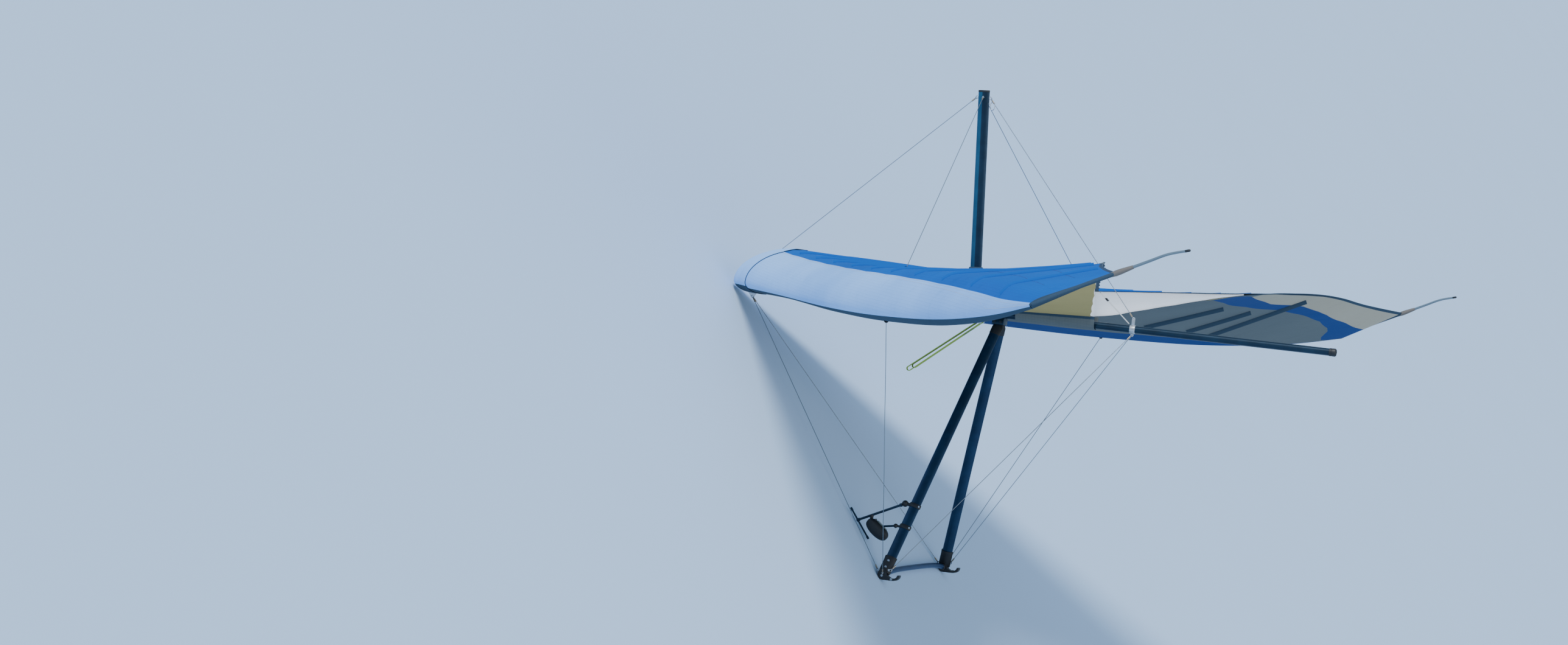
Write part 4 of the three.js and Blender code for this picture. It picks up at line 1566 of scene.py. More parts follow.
    def keel_cloth(self) -> None:
        """The strip of top cloth over the keel, between the two halves."""
        form, chord = self.form, self.form.chord(self.form.root)
        hem_from = 1 - self.hem / chord
        line = evenly((self.strip_start - KEEL_FRONT) / chord, 1, 40)
        shares = [share for share in line if share < hem_from - 0.002] + [hem_from, 1.0]
        grid = []
        for across in evenly(-1, 1, 8):
            row = []
            for share in shares:
                point = form.top(form.root, share)
                crown = 0.004 * (1 - across * across) * math.sin(math.pi * min(share, 0.95))
                row.append(Vector((across * self.strip_half, point.y, point.z + crown)))
            grid.append(row)
        white, last = sum(share < form.seam(form.root) for share in shares), len(shares) - 2

        def colour(i: int, j: int) -> int:
            """The finish of a quad: 0 is blue, 1 white and 2 the hem."""
            return 1 if j < white else 2 if j >= last else 0

        finishes = [Finish.BLUE_CLOTH, Finish.WHITE_CLOTH, Finish.HEM, Finish.GREY_CLOTH]
        nodes, marks = ["keel_pocket"], (colour, 3, 2)
        self.sew("keel_strip_cloth", grid, 1, marks, finishes, "blue_cloth", ["keel_tube"], nodes)

    def keel_pocket(self) -> None:
        """The two lengths of the pocket that wrap the keel below the lower surface."""
        form, chord = self.form, self.form.chord(self.form.root)
        rims = [-1.0, -0.985, *evenly(-1, 1, 16)[1:-1], 0.985, 1.0]
        marks = (lambda i, j: 1 if j in (0, len(rims) - 2) else 0, 0, 1)
        finishes = [Finish.GREY_CLOTH, Finish.HEM]
        for name, start, end in (("front", self.strip_start, 1.392), ("rear", 1.698, 2.160)):
            grid = []
            for y in evenly(start, end, max(6, round((end - start) / 0.05))):
                high = form.under(form.root, (y - KEEL_FRONT) / chord).z
                drop = min(high - 0.002, -0.027) - high
                dips = [drop * math.sqrt(max(0.0, 1 - abs(across) ** 3)) for across in rims]
                grid.append([Vector((a * self.strip_half, y, high + dip)) for a, dip in zip(rims, dips)])
            self.sew(f"keel_pocket_{name}", grid, 1, marks, finishes, "blue_cloth", ["keel_tube"])

    def nose_cover(self) -> None:
        """The cover over the nose, wrapped round both leading edges, its underside painted dark as a painted
        shadow.
        """
        form, half, depth, turned, clear = self.form, 0.23, 0.174, 0.05, 0.0026
        grid = []
        for x in evenly(-half, half, 32):
            span = max(abs(x), form.root)
            near = max(0.0, 1 - abs(x) / 0.1)
            ahead = AFT * (-0.032 * near * near * (3 - 2 * near))
            seam = form.seam(span)
            rear = seam - 0.004 + (depth - seam) * (1 - (x / half) ** 2)
            places = [(form.top, rear * share**2) for share in evenly(1, 0, 14)]
            places += [(form.under, turned * share**2) for share in evenly(0, 1, 8)[1:]]
            places += [(form.under, turned + 0.007), (form.under, turned + 0.014)]
            row = []
            for surface, share in places:
                point = surface(span, share)
                point.x = x
                row.append(point + ahead * (1 - min(1.0, share / 0.17)))
            grid.append(row)
        raised = np.array([[tuple(point) for point in row] for row in grid])
        raised -= normals_of(raised) * (self.cloth + clear)
        grid = [[Vector(point) for point in row] for row in raised]
        # quads from 16 on, the underside, take the dark hem finish: a painted shadow under the nose
        marks, finishes = (lambda i, j: 1 if j >= 16 else 0, 0, 1), [Finish.WHITE_CLOTH, Finish.HEM]
        held_by = ["leading_cloth_left", "leading_cloth_right"]
        self.sew("nose_cover", grid, -1, marks, finishes, "white_cloth", held_by, ["nose_cone"])


@dataclass
class Keel(Assembly):
    """The keel tube with its end plug, rear clamp, nose plate and tail strap."""

    radius: float = 0.021
    rear: float = 3.512
    nose_eye: Vector = spot(0, 0.118, -0.060)
    top_eye: Vector = spot(0, 2.376, 0.059)
    low_eye: Vector = spot(0, 2.376, -0.030)

    def build(self) -> None:
        """Makes the keel's pieces."""
        self.tube()
        self.end_plug()
        self.rear_clamp()
        self.nose_plate()
        self.tail_strap()

    def tube(self) -> None:
        """The tube, with a thicker sleeve where the control frame and the kingpost stand."""
        r, length = self.radius, self.rear - KEEL_FRONT
        sleeve = [(1.20, r), (1.2005, r + 0.0006), (1.72, r + 0.0006), (1.7205, r)]
        profile = [(0.0, r - 0.003), (0.001, r), *sleeve, (3.0, r), (length - 0.0003, r)]
        draft = Draft()
        draft.add_turned(AFT * KEEL_FRONT, AFT, profile, 40)
        self.shop.make(draft, "keel", [Finish.TUBE], "dark_tube", ["keel_tube"])

    def end_plug(self) -> None:
        """The moulded plug in the keel's rear end."""
        r = self.radius + 0.002
        groove = [(0.012, r), (0.0125, r - 0.0012), (0.015, r - 0.0012), (0.0155, r)]
        profile = [(0, r - 0.001), (0.001, r), *groove, (0.033, r), (0.037, r - 0.002), (0.040, r - 0.006)]
        draft = Draft()
        draft.add_turned(AFT * self.rear, AFT, [*profile, (0.040, 0.007), (0.034, 0.0065)], 40)
        self.shop.make(draft, "keel_end_plug", [Finish.PLASTIC], "black_plastic", ["keel_end_cap"])

    def rear_clamp(self) -> None:
        """The clamp behind the sail that holds the rear stays."""
        r, middle = self.radius + 0.004, AFT * self.top_eye.y
        profile = [(0.0, r - 0.0015), (0.0015, r), (0.0305, r), (0.032, r - 0.0015)]
        draft = Draft()
        draft.add_turned(middle - AFT * 0.016, AFT, profile, 40)
        draft.add_block(middle + UP * (r + 0.017), (0.008, 0.018, 0.040))
        draft.add_block(middle - UP * (r + 0.003), (0.010, 0.018, 0.014))
        draft.add_ring(self.top_eye, ACROSS, 0.0075, 0.0022)
        draft.add_ring(self.low_eye - UP * 0.002, ACROSS, 0.0075, 0.0022)
        self.shop.make(draft, "rear_clamp", [Finish.STEEL], "steel", ["rear_tang"], 0.0008)

    def nose_plate(self) -> None:
        """The plate under the nose that the lower front stays hang from."""
        outline = [(0.084, -0.0213), (0.148, -0.0213), (0.146, -0.030), (0.130, -0.060), (0.126, -0.066)]
        outline += [(0.118, -0.069), (0.110, -0.066), (0.106, -0.060), (0.086, -0.030)]
        draft = Draft()
        draft.add_plate(outline, (-0.003, 0.003))
        draft.add_ring(self.nose_eye, ACROSS, 0.0062, 0.0018)
        self.shop.make(draft, "nose_plate", [Finish.STEEL], "steel", ["nose_tang"], 0.0008)

    def tail_strap(self) -> None:
        """The strap that ties the sail's rear edge to the rear clamp, with its buckle."""
        stops = ((0, 2.164, 0.190), (0, 2.23, 0.135), (0, 2.352, 0.030))
        path = smooth_path([Vector(stop) for stop in stops], 8)
        strap, buckle = Draft(), Draft()
        strap.add_sweep(path, rounded_box(0.026, 0.0030, 0.0014), UP)
        self.shop.make(strap, "tail_strap", [Finish.WHITE_WEBBING], "webbing")
        buckle.add_block(path[6], (0.036, 0.022, 0.008), Matrix.Rotation(math.radians(-40), 3, "X"))
        self.shop.make(buckle, "tail_strap_buckle", [Finish.PLASTIC], "black_plastic", bevel=0.002)


@dataclass
class Kingpost(Assembly):
    """The streamlined mast above the sail, with its foot, head and fittings."""

    foot: Vector = spot(0, 1.438, 0.062)
    head: Vector = spot(0, 1.356, 1.258)
    chord: float = 0.066
    thickness: float = 0.028
    sail_top: float = 0.232
    eyes_down: float = 0.030

    @property
    def axis(self) -> Vector:
        """The direction from the foot to the head."""
        return (self.head - self.foot).normalized()

    @property
    def eye_middle(self) -> Vector:
        """The place in the mast that the eyes are round."""
        return self.head - self.axis * self.eyes_down

    def eyes(self) -> dict[str, Vector]:
        """The eyes near the head that the top stays hang from."""
        places = {"front": (0, -0.039, 0), "rear": (0, 0.039, 0), "side": (0.020, 0, 0)}
        return {name: self.eye_middle + Vector(place) for name, place in places.items()}

    def build(self) -> None:
        """Makes the mast and its fittings."""
        self.tube()
        self.cap()
        self.base()
        self.boot()
        self.crown()

    def tube(self) -> None:
        """The mast, its front painted paler as a painted highlight."""
        section = airfoil_tube(self.chord, self.thickness)
        path = [self.foot + (self.head - self.foot) * share for share in evenly(0, 1, 12)]
        path[0] = self.foot + self.axis * 0.003
        # the front columns of the section take the paler copy, a painted highlight
        front = 9
        draft = Draft()
        draft.add_sweep(path, section, AFT, lambda i, k: 1 if k < front or k >= len(section) - front else 0)
        finishes = [Finish.TUBE, Finish.TUBE_PAINTED_HIGHLIGHT]
        self.shop.make(draft, "kingpost_tube", finishes, "dark_tube", ["kingpost"])

    def cap(self) -> None:
        """The square-cut cap on the head."""
        path = [self.head + self.axis * far for far in (0.0003, 0.0018, 0.0093, 0.0113, 0.0123)]
        scales = [0.985, 1.03, 1.03, 1.0, 0.95]
        draft = Draft()
        draft.add_sweep(path, airfoil_tube(self.chord, self.thickness), AFT, scales=scales)
        self.shop.make(draft, "kingpost_end_cap", [Finish.PLASTIC], "black_plastic", ["kingpost_cap"])

    def base(self) -> None:
        """The forked bracket on the keel with its bolts."""
        y, draft = self.foot.y, Draft()
        outline = [(-0.042, -0.004), (0.042, -0.004), (0.042, 0.030), (0.020, 0.058), (0, 0.062)]
        outline += [(-0.020, 0.058), (-0.042, 0.030)]
        for side in Side:
            draft.add_plate(outline, side.reach(0.0175, 0.0215), AFT * y)
        draft.add_block(Vector((0, y, 0.027)), (0.036, 0.070, 0.008))
        self.shop.make(draft, "kingpost_bracket", [Finish.STEEL], "steel", ["kingpost_base"], 0.0008)
        spots = [(side, far, 0.012) for side in Side for far in (-0.025, 0.025)]
        spots += [(side, 0, 0.048) for side in Side]
        places = [side.flip(Vector((0.0225, y + far, z))) for side, far, z in spots]
        self.shop.bolt("kingpost_bolts", places, (0.005, 0.005))

    def boot(self) -> None:
        """The collar where the mast leaves the sail."""
        low = self.foot + self.axis * ((self.sail_top - self.foot.z) / self.axis.z)
        path = [low + self.axis * far for far in (-0.012, 0.0, 0.018, 0.022)]
        section = airfoil_tube(self.chord + 0.016, self.thickness + 0.016)
        draft = Draft()
        draft.add_sweep(path, section, AFT, scales=[1.25, 1.1, 1.0, 0.94])
        self.shop.make(draft, "kingpost_boot", [Finish.HEM], "blue_cloth")

    def crown(self) -> None:
        """The stay eyes on the head, and the ring behind it."""
        eyes, middle, draft = self.eyes(), self.eye_middle, Draft()
        for eye in (eyes["front"], eyes["rear"], eyes["side"], Side.RIGHT.flip(eyes["side"])):
            out = (eye - middle).normalized()
            draft.add_ring(eye, ACROSS if abs(out.x) < 0.5 else AFT, 0.0066, 0.0020)
            draft.add_sweep([middle + out * 0.008, eye - out * 0.005], rounded_box(0.004, 0.016, 0.0015), UP)
        self.shop.make(draft, "crown_eyes", [Finish.STEEL], "steel")
        ring, below = Draft(), middle - UP * 0.034
        hold = below + AFT * 0.039
        ring.add_sweep([below + AFT * 0.028, hold], rounded_box(0.004, 0.012, 0.0015), UP)
        oval = [(0.018 + 0.013 * a, -0.010 + 0.024 * b) for a, b in circle(1, 28)]
        path = [hold + AFT * a + UP * b for a, b in oval]
        ring.add_sweep(path, circle(0.0024, 10), ACROSS, closed=True)
        self.shop.make(ring, "crown_ring", [Finish.STEEL], "steel")


@dataclass
class ControlFrame(Assembly):
    """The triangle of two downtubes and a base bar, with its corners, skids and top bracket."""

    corner: Vector = spot(*LEFT_CORNER)
    apex: Vector = spot(0.034, 1.600, -0.071818)
    chord: float = 0.060
    thickness: float = 0.026
    bar: float = 0.015
    bar_rise: float = 0.020
    half_width: float = 0.024
    radius: float = 0.030

    @property
    def axis(self) -> Vector:
        """The direction up the left downtube."""
        return (self.apex - self.corner).normalized()

    def eyes(self) -> dict[str, Vector]:
        """The left corner's eyes that the lower stays are held by."""
        places = {"front": (0, -0.034, 0.018), "rear": (0, 0.038, 0.026), "outer": (0.028, 0, 0.008)}
        return {name: self.corner + Vector(place) for name, place in places.items()}

    def build(self) -> None:
        """Makes the frame's pieces."""
        for side in Side:
            self.downtube(side)
            self.corner_moulding(side)
            self.corner_eyes(side)
            self.corner_bolts(side)
        self.base_bar()
        self.top_bracket()

    def tube_path(self, side: Side, stops: Iterable[float]) -> list[Vector]:
        """Points up a downtube, at distances from the corner's middle."""
        return [side.flip(self.corner + self.axis * stop) for stop in stops]

    def downtube(self, side: Side) -> None:
        """One streamlined downtube with its black top plug.

        Args:
            side: The half that it is on.
        """
        length = (self.apex - self.corner).length
        section = airfoil_tube(self.chord, self.thickness)
        draft, plug = Draft(), Draft()
        draft.add_sweep(self.tube_path(side, evenly(0.036, length - 0.030, 12)), section, AFT)
        name, nodes = f"downtube_tube_{side.label}", [f"downtube_{side.label}"]
        self.shop.make(draft, name, [Finish.DOWNTUBE], "dark_tube", nodes)
        stops = [length + far for far in (-0.052, -0.050, -0.004, 0.010, 0.0165)]
        plug.add_sweep(self.tube_path(side, stops), section, AFT, scales=[1.02, 1.06, 1.06, 0.88, 0.8])
        self.shop.make(plug, f"downtube_plug_{side.label}", [Finish.PLASTIC], "black_plastic")

    def corner_moulding(self, side: Side) -> None:
        """The moulded corner with its socket and its skid.

        Args:
            side: The half that it is on.
        """
        x, r, reach, rise, lip = self.corner.x, self.radius, 0.096, 0.034, 0.012
        under = [(reach * 0.55, -r), (reach, -r), (reach, rise - r)]
        over = [(reach - lip, rise - r), (reach - 0.014, lip - r), (reach * 0.5, lip - r)]
        outline = [(r * 0.4, r * 0.92), *arc(r, 67, 270, 16), under[0], *bezier(under, 6)]
        outline += [over[0], *bezier(over, 6), (r, -r * 0.3)]
        draft = Draft()
        middle = Vector((0, self.corner.y, self.corner.z))
        draft.add_plate(outline, side.reach(x - self.half_width, x + self.half_width), middle)
        socket = airfoil_tube(self.chord + 0.010, self.thickness + 0.010)
        path = self.tube_path(side, (0.010, 0.090, 0.108, 0.112))
        draft.add_sweep(path, socket, AFT, scales=[1.0, 1.0, 1.04, 1.0])
        name, nodes = f"corner_moulding_{side.label}", [f"corner_{side.label}"]
        self.shop.make(draft, name, [Finish.PLASTIC], "black_plastic", nodes, 0.0025)

    def corner_eyes(self, side: Side) -> None:
        """The eyes of a corner that the stays are held by.

        Args:
            side: The half that it is on.
        """
        draft = Draft()
        for key, eye in self.eyes().items():
            outer = key == "outer"
            draft.add_ring(side.flip(eye), AFT if outer else ACROSS, 0.0062, 0.0020)
            middle = Vector((self.corner.x + (0.020 if outer else 0), self.corner.y, eye.z))
            out = (eye - middle).normalized()
            stem = [side.flip(eye - out * 0.016), side.flip(eye - out * 0.0052)]
            draft.add_sweep(stem, rounded_box(0.004, 0.014, 0.0015), UP)
        self.shop.make(draft, f"corner_eyes_{side.label}", [Finish.STEEL], "steel")

    def corner_bolts(self, side: Side) -> None:
        """The bolts through a corner and through its socket.

        Args:
            side: The half that it is on.
        """
        out = self.half_width + 0.001
        places = [self.corner + Vector(far) for far in ((out, -0.004, -0.006), (out, 0.052, -0.021))]
        socket_bolt = Vector((0.0195, -0.004, 0.0))
        places += [self.corner + self.axis * stop + socket_bolt for stop in (0.050, 0.090)]
        self.shop.bolt(f"corner_bolts_{side.label}", [side.flip(place) for place in places], (0.0048, 0.005))

    def base_bar(self) -> None:
        """The base bar, bowed up a little between its corners, with a collar at each end."""
        inner = self.half_width - 0.012
        path = []
        for share in evenly(-1, 1, 40):
            rise = self.bar_rise * max(0.0, 1 - abs(share / 0.978) ** 4)
            path.append(Vector((share * (self.corner.x - inner), self.corner.y, self.corner.z + rise)))
        draft = Draft()
        draft.add_sweep(path, circle(self.bar, 32), UP)
        self.shop.make(draft, "base_bar_tube", [Finish.BAR_TUBE], "dark_tube", ["basebar"])
        profile = [(0, 0.002), (0.002, 0.0035), (0.018, 0.0035), (0.021, 0.001), (0.024, 0.0003)]
        profile = [(far, self.bar + over) for far, over in profile]
        for side in Side:
            collar = Draft()
            foot = side.flip(self.corner - ACROSS * (self.half_width + 0.012))
            collar.add_turned(foot, ACROSS * -side.value, profile, 32)
            self.shop.make(collar, f"base_bar_collar_{side.label}", [Finish.PLASTIC], "black_plastic")

    def top_bracket(self) -> None:
        """The bracket under the keel that the downtubes meet in, with its cross bolts."""
        y, bottom, draft = self.apex.y, -0.060, Draft()
        outline = [(-0.052, bottom + 0.004), (-0.048, bottom), (0.048, bottom), (0.052, bottom + 0.004)]
        outline += [(0.052, -0.030), (0.040, -0.013), *arc(SADDLE, -40, -140, 8), (-0.040, -0.013)]
        outline.append((-0.052, -0.030))
        draft.add_plate(outline, (-0.034, 0.034), AFT * y, (ACROSS, UP))
        self.shop.make(draft, "top_bracket_block", [Finish.TUBE], "steel", ["apex_bracket"], 0.0015)
        spots = [Vector((0.0526, y + far, -0.043)) for far in (-0.018, 0.018)]
        places = [side.flip(place) for side in Side for place in spots]
        self.shop.bolt("top_bracket_bolts", places, (0.006, 0.006), Finish.BLACK_BOLT)


@dataclass
class Wands(Assembly):
    """The bent rods that spread the tips, each in a sleeve along the tip."""

    form: WingForm
    radius: float = 0.008
    beyond: tuple[Pair, ...] = ((3.357, 0.352), (3.450, 0.397), (3.549, 0.426))

    def build(self) -> None:
        """Makes both wands."""
        for side in Side:
            self.wand(side)

    def wand(self, side: Side) -> None:
        """One wand with its sleeve, root and end.

        Args:
            side: The tip that it is at.
        """
        tip, in_sleeve = self.form.tip, 16
        x = tip + 0.0003 + self.radius
        along = []
        for share in (0.04, 0.5, 1.0):
            top, under = self.form.top(tip, share), self.form.under(tip, share)
            along.append((top.y, top.z - 0.005 if share == 1.0 else (top.z + under.z) / 2))
        path = smooth_path([Vector((x, y, z)) for y, z in (*along, *self.beyond)], 8)
        line = [side.flip(point) for point in path]
        rod, sleeve, wrap, knob = Draft(), Draft(), Draft(), Draft()
        scales = [1.0] * in_sleeve + evenly(1.0, 0.75, len(line) - 1 - in_sleeve)
        rod.add_sweep(line, circle(self.radius, 20), ACROSS, scales=scales)
        self.shop.make(rod, f"wand_rod_{side.label}", [Finish.ROD], "wand", [f"tip_wand_{side.label}"])
        ends = [0.9, *[1.0] * (in_sleeve - 1), 0.9]
        sleeve.add_sweep(line[: in_sleeve + 1], rounded_box(0.020, 0.028, 0.009, 4), ACROSS, scales=ends)
        self.shop.make(sleeve, f"wand_sleeve_{side.label}", [Finish.HEM], "tan_cloth")
        sizes = [1.4, 1.8, 1.75, 1.55, 1.35, 1.15]
        wrap.add_sweep(line[15:21], circle(self.radius, 20), ACROSS, scales=sizes)
        self.shop.make(wrap, f"wand_root_{side.label}", [Finish.WRAP], "tan_cloth")
        profile = [(-0.022, 0.0052), (-0.020, 0.0066), (0.0, 0.0066), (0.004, 0.0055), (0.006, 0.003)]
        knob.add_turned(line[-1], line[-1] - line[-2], profile, 16)
        self.shop.make(knob, f"wand_end_{side.label}", [Finish.PLASTIC], "black_plastic")


@dataclass
class Rigging(Assembly):
    """The taut wire stays, with thimbles and pressed sleeves at their ends."""

    form: WingForm
    keel: Keel
    mast: Kingpost
    frame: ControlFrame
    wire: float = 0.0018
    eye: float = 0.0080
    nose: Vector = spot(0, 0.060, 0.040)
    junction: Vector = spot(2.831, 1.640, -0.040)

    def build(self) -> None:
        """Makes every stay, and the sleeves of them all."""
        crown, corner, keel = self.mast.eyes(), self.frame.eyes(), self.keel
        ends = self.stay("top_front_stay", crown["front"], self.nose, False)
        ends += self.stay("top_rear_stay", crown["rear"], keel.top_eye, True)
        for side in Side:
            label, meet = side.label, side.flip(self.junction)
            front, rear, outer = (side.flip(corner[key]) for key in ("front", "rear", "outer"))
            ends += self.stay(f"lower_front_stay_{label}", keel.nose_eye, front, True)
            ends += self.stay(f"lower_rear_stay_{label}", keel.low_eye, rear, True)
            ends += self.stay(f"lower_side_stay_{label}", outer, meet, False)
            ends += self.stay(f"top_side_stay_{label}", side.flip(crown["side"]), meet, False)
        lines, aims = [[place] for place, _ in ends], [aim for _, aim in ends]
        size, tree = {"Radius": 0.0042, "Length": 0.024}, self.shop.trees.swages
        self.shop.grow(tree, lines, size, "stay_swages", Finish.COPPER, "steel", aims=aims)

    def skin(self, start: Vector, goal: Vector) -> Vector:
        """Where a wire from a point towards another passes into the sail.

        Args:
            start: A point outside the sail.
            goal: A point inside it.

        Returns:
            The place on the cloth.
        """
        steps = 200
        within = next(k for k in range(steps) if self.form.inside(start.lerp(goal, k / steps))) / steps
        outside = within - 1 / steps
        for _ in range(30):
            middle = (outside + within) / 2
            if self.form.inside(start.lerp(goal, middle)):
                within = middle
            else:
                outside = middle
        return start.lerp(goal, within)

    def stay(self, name: str, start: Vector, goal: Vector, held: bool) -> list[tuple[Vector, Vector]]:
        """Makes one stay.

        Args:
            name: The CAD node that it stands for.
            start: The eye that it starts from.
            goal: The eye that it ends at, or a point inside the sail.
            held: True if it ends at an eye.

        Returns:
            The places and directions of its pressed sleeves.
        """
        along = (goal - start).normalized()
        gap = along * (self.eye + 0.0003)
        first = start + gap
        last = goal - gap if held else self.skin(first, goal)
        upright = ACROSS if abs(along.x) < 0.7 else UP
        draft = Draft()
        draft.add_sweep([first.lerp(last, t) for t in evenly(0, 1, 8)], circle(self.wire, 12), upright)
        ends = [(start, along), (goal, -along)] if held else [(start, along)]
        for eye, out in ends:
            across = out.cross(upright).normalized()
            thimble = []
            for far, wide in circle(1, 24):
                stretch = (0.012 if far > 0 else 0.0085) * far
                width = 0.0068 * wide * (1 - 0.55 * max(0.0, far))
                thimble.append(eye + out * (0.002 + stretch) + across * width)
            draft.add_sweep(thimble, circle(0.0019, 8), out.cross(across), closed=True)
        self.shop.make(draft, f"{name}_wire", [Finish.WIRE], "wire", [name])
        if not held:
            grommet = Draft()
            grommet.add_turned(last - along * 0.003, along, [(0, 0.006), (0.001, 0.009), (0.005, 0.012)], 20)
            self.shop.make(grommet, f"{name}_grommet", [Finish.PLASTIC], "black_plastic")
        return [(eye + out * 0.028, out) for eye, out in ends]


@dataclass
class HangPoint(Assembly):
    """The bracket under the keel, and the two sewn loops of webbing on its pin."""

    pin: Vector = spot(*HANG_PIN)
    apart: float = 0.0145
    half_strap: float = 0.002

    def build(self) -> None:
        """Makes the bracket and the loops."""
        self.bracket()
        self.loop("main", -self.apart, 0.470)
        self.loop("backup", self.apart, 0.500)

    def bracket(self) -> None:
        """The saddle, its two cheeks and the pin with its heads."""
        y, z, draft = self.pin.y, self.pin.z, Draft()
        outline = [(-0.025, -0.013), (-0.025, -0.034), (-0.012, z - 0.006), (-0.006, z - 0.011)]
        outline += [(-a, b) for a, b in reversed(outline)]
        for side in Side:
            draft.add_plate(outline, side.reach(0.032, 0.036), AFT * y)
        outline = [(-0.036, -0.031), (0.036, -0.031), (0.036, -0.013), (0.024, -0.013)]
        outline += [*arc(SADDLE, -38, -142, 8), (-0.024, -0.013), (-0.036, -0.013)]
        draft.add_plate(outline, (-0.025, 0.025), AFT * y, (ACROSS, UP))
        self.shop.make(draft, "hang_saddle", [Finish.STEEL], "steel", ["hang_bracket"], 0.0008)
        rod = Draft()
        profile = [(0, 0.005), (0.001, 0.0075), (0.005, 0.0075), (0.0055, 0.005), (0.0785, 0.005)]
        profile += [(0.079, 0.0075), (0.083, 0.0075), (0.084, 0.005)]
        rod.add_turned(Vector((-0.042, y, z)), ACROSS, profile, 24)
        self.shop.make(rod, "hang_pin", [Finish.BOLT], "steel")

    def loop(self, name: str, x: float, length: float) -> None:
        """One loop of webbing that hangs straight down from the pin.

        Args:
            name: Which loop it is.
            x: Its middle across the glider.
            length: From the pin to the foot of the loop.
        """
        down = Matrix.Rotation(-self.shop.attitude.pitch, 3, "X")
        top, foot, steps = 0.006 + self.half_strap, 0.010 + self.half_strap, 16
        ring = arc(top, 0, 180, 12)
        ring += zip(evenly(-top, -foot, steps)[1:-1], evenly(0, -length, steps)[1:-1])
        ring += [(a, b - length) for a, b in arc(foot, 180, 360, 12)]
        ring += zip(evenly(foot, top, steps)[1:-1], evenly(-length, 0, steps)[1:-1])
        draft = Draft()
        path = [self.pin + down @ Vector((x, a, b)) for a, b in ring]
        draft.add_sweep(path, rounded_box(0.0036, 0.025, 0.0016), ACROSS, closed=True)
        finishes, nodes, piece = [Finish.GREEN_WEBBING], [f"{name}_hang_loop"], f"{name}_loop_webbing"
        self.shop.make(draft, piece, finishes, "webbing", nodes, body=LOOPS)
        lines = []
        for far, front in ((far, front) for far in (-0.008, 0.0, 0.008) for front in (-1, 1)):
            run = []
            for drop in evenly(0.055, 0.130, 8):
                wide = top + (foot - top) * drop / length + self.half_strap
                run.append(self.pin + down @ Vector((x + far, front * wide, -drop)))
            lines.append(run)
        size, tree = {"Spacing": 0.006, "Length": 0.0042, "Width": 0.0011}, self.shop.trees.stitches
        self.shop.grow(tree, lines, size, f"{piece}_stitches", Finish.DARK_THREAD, "webbing", LOOPS)


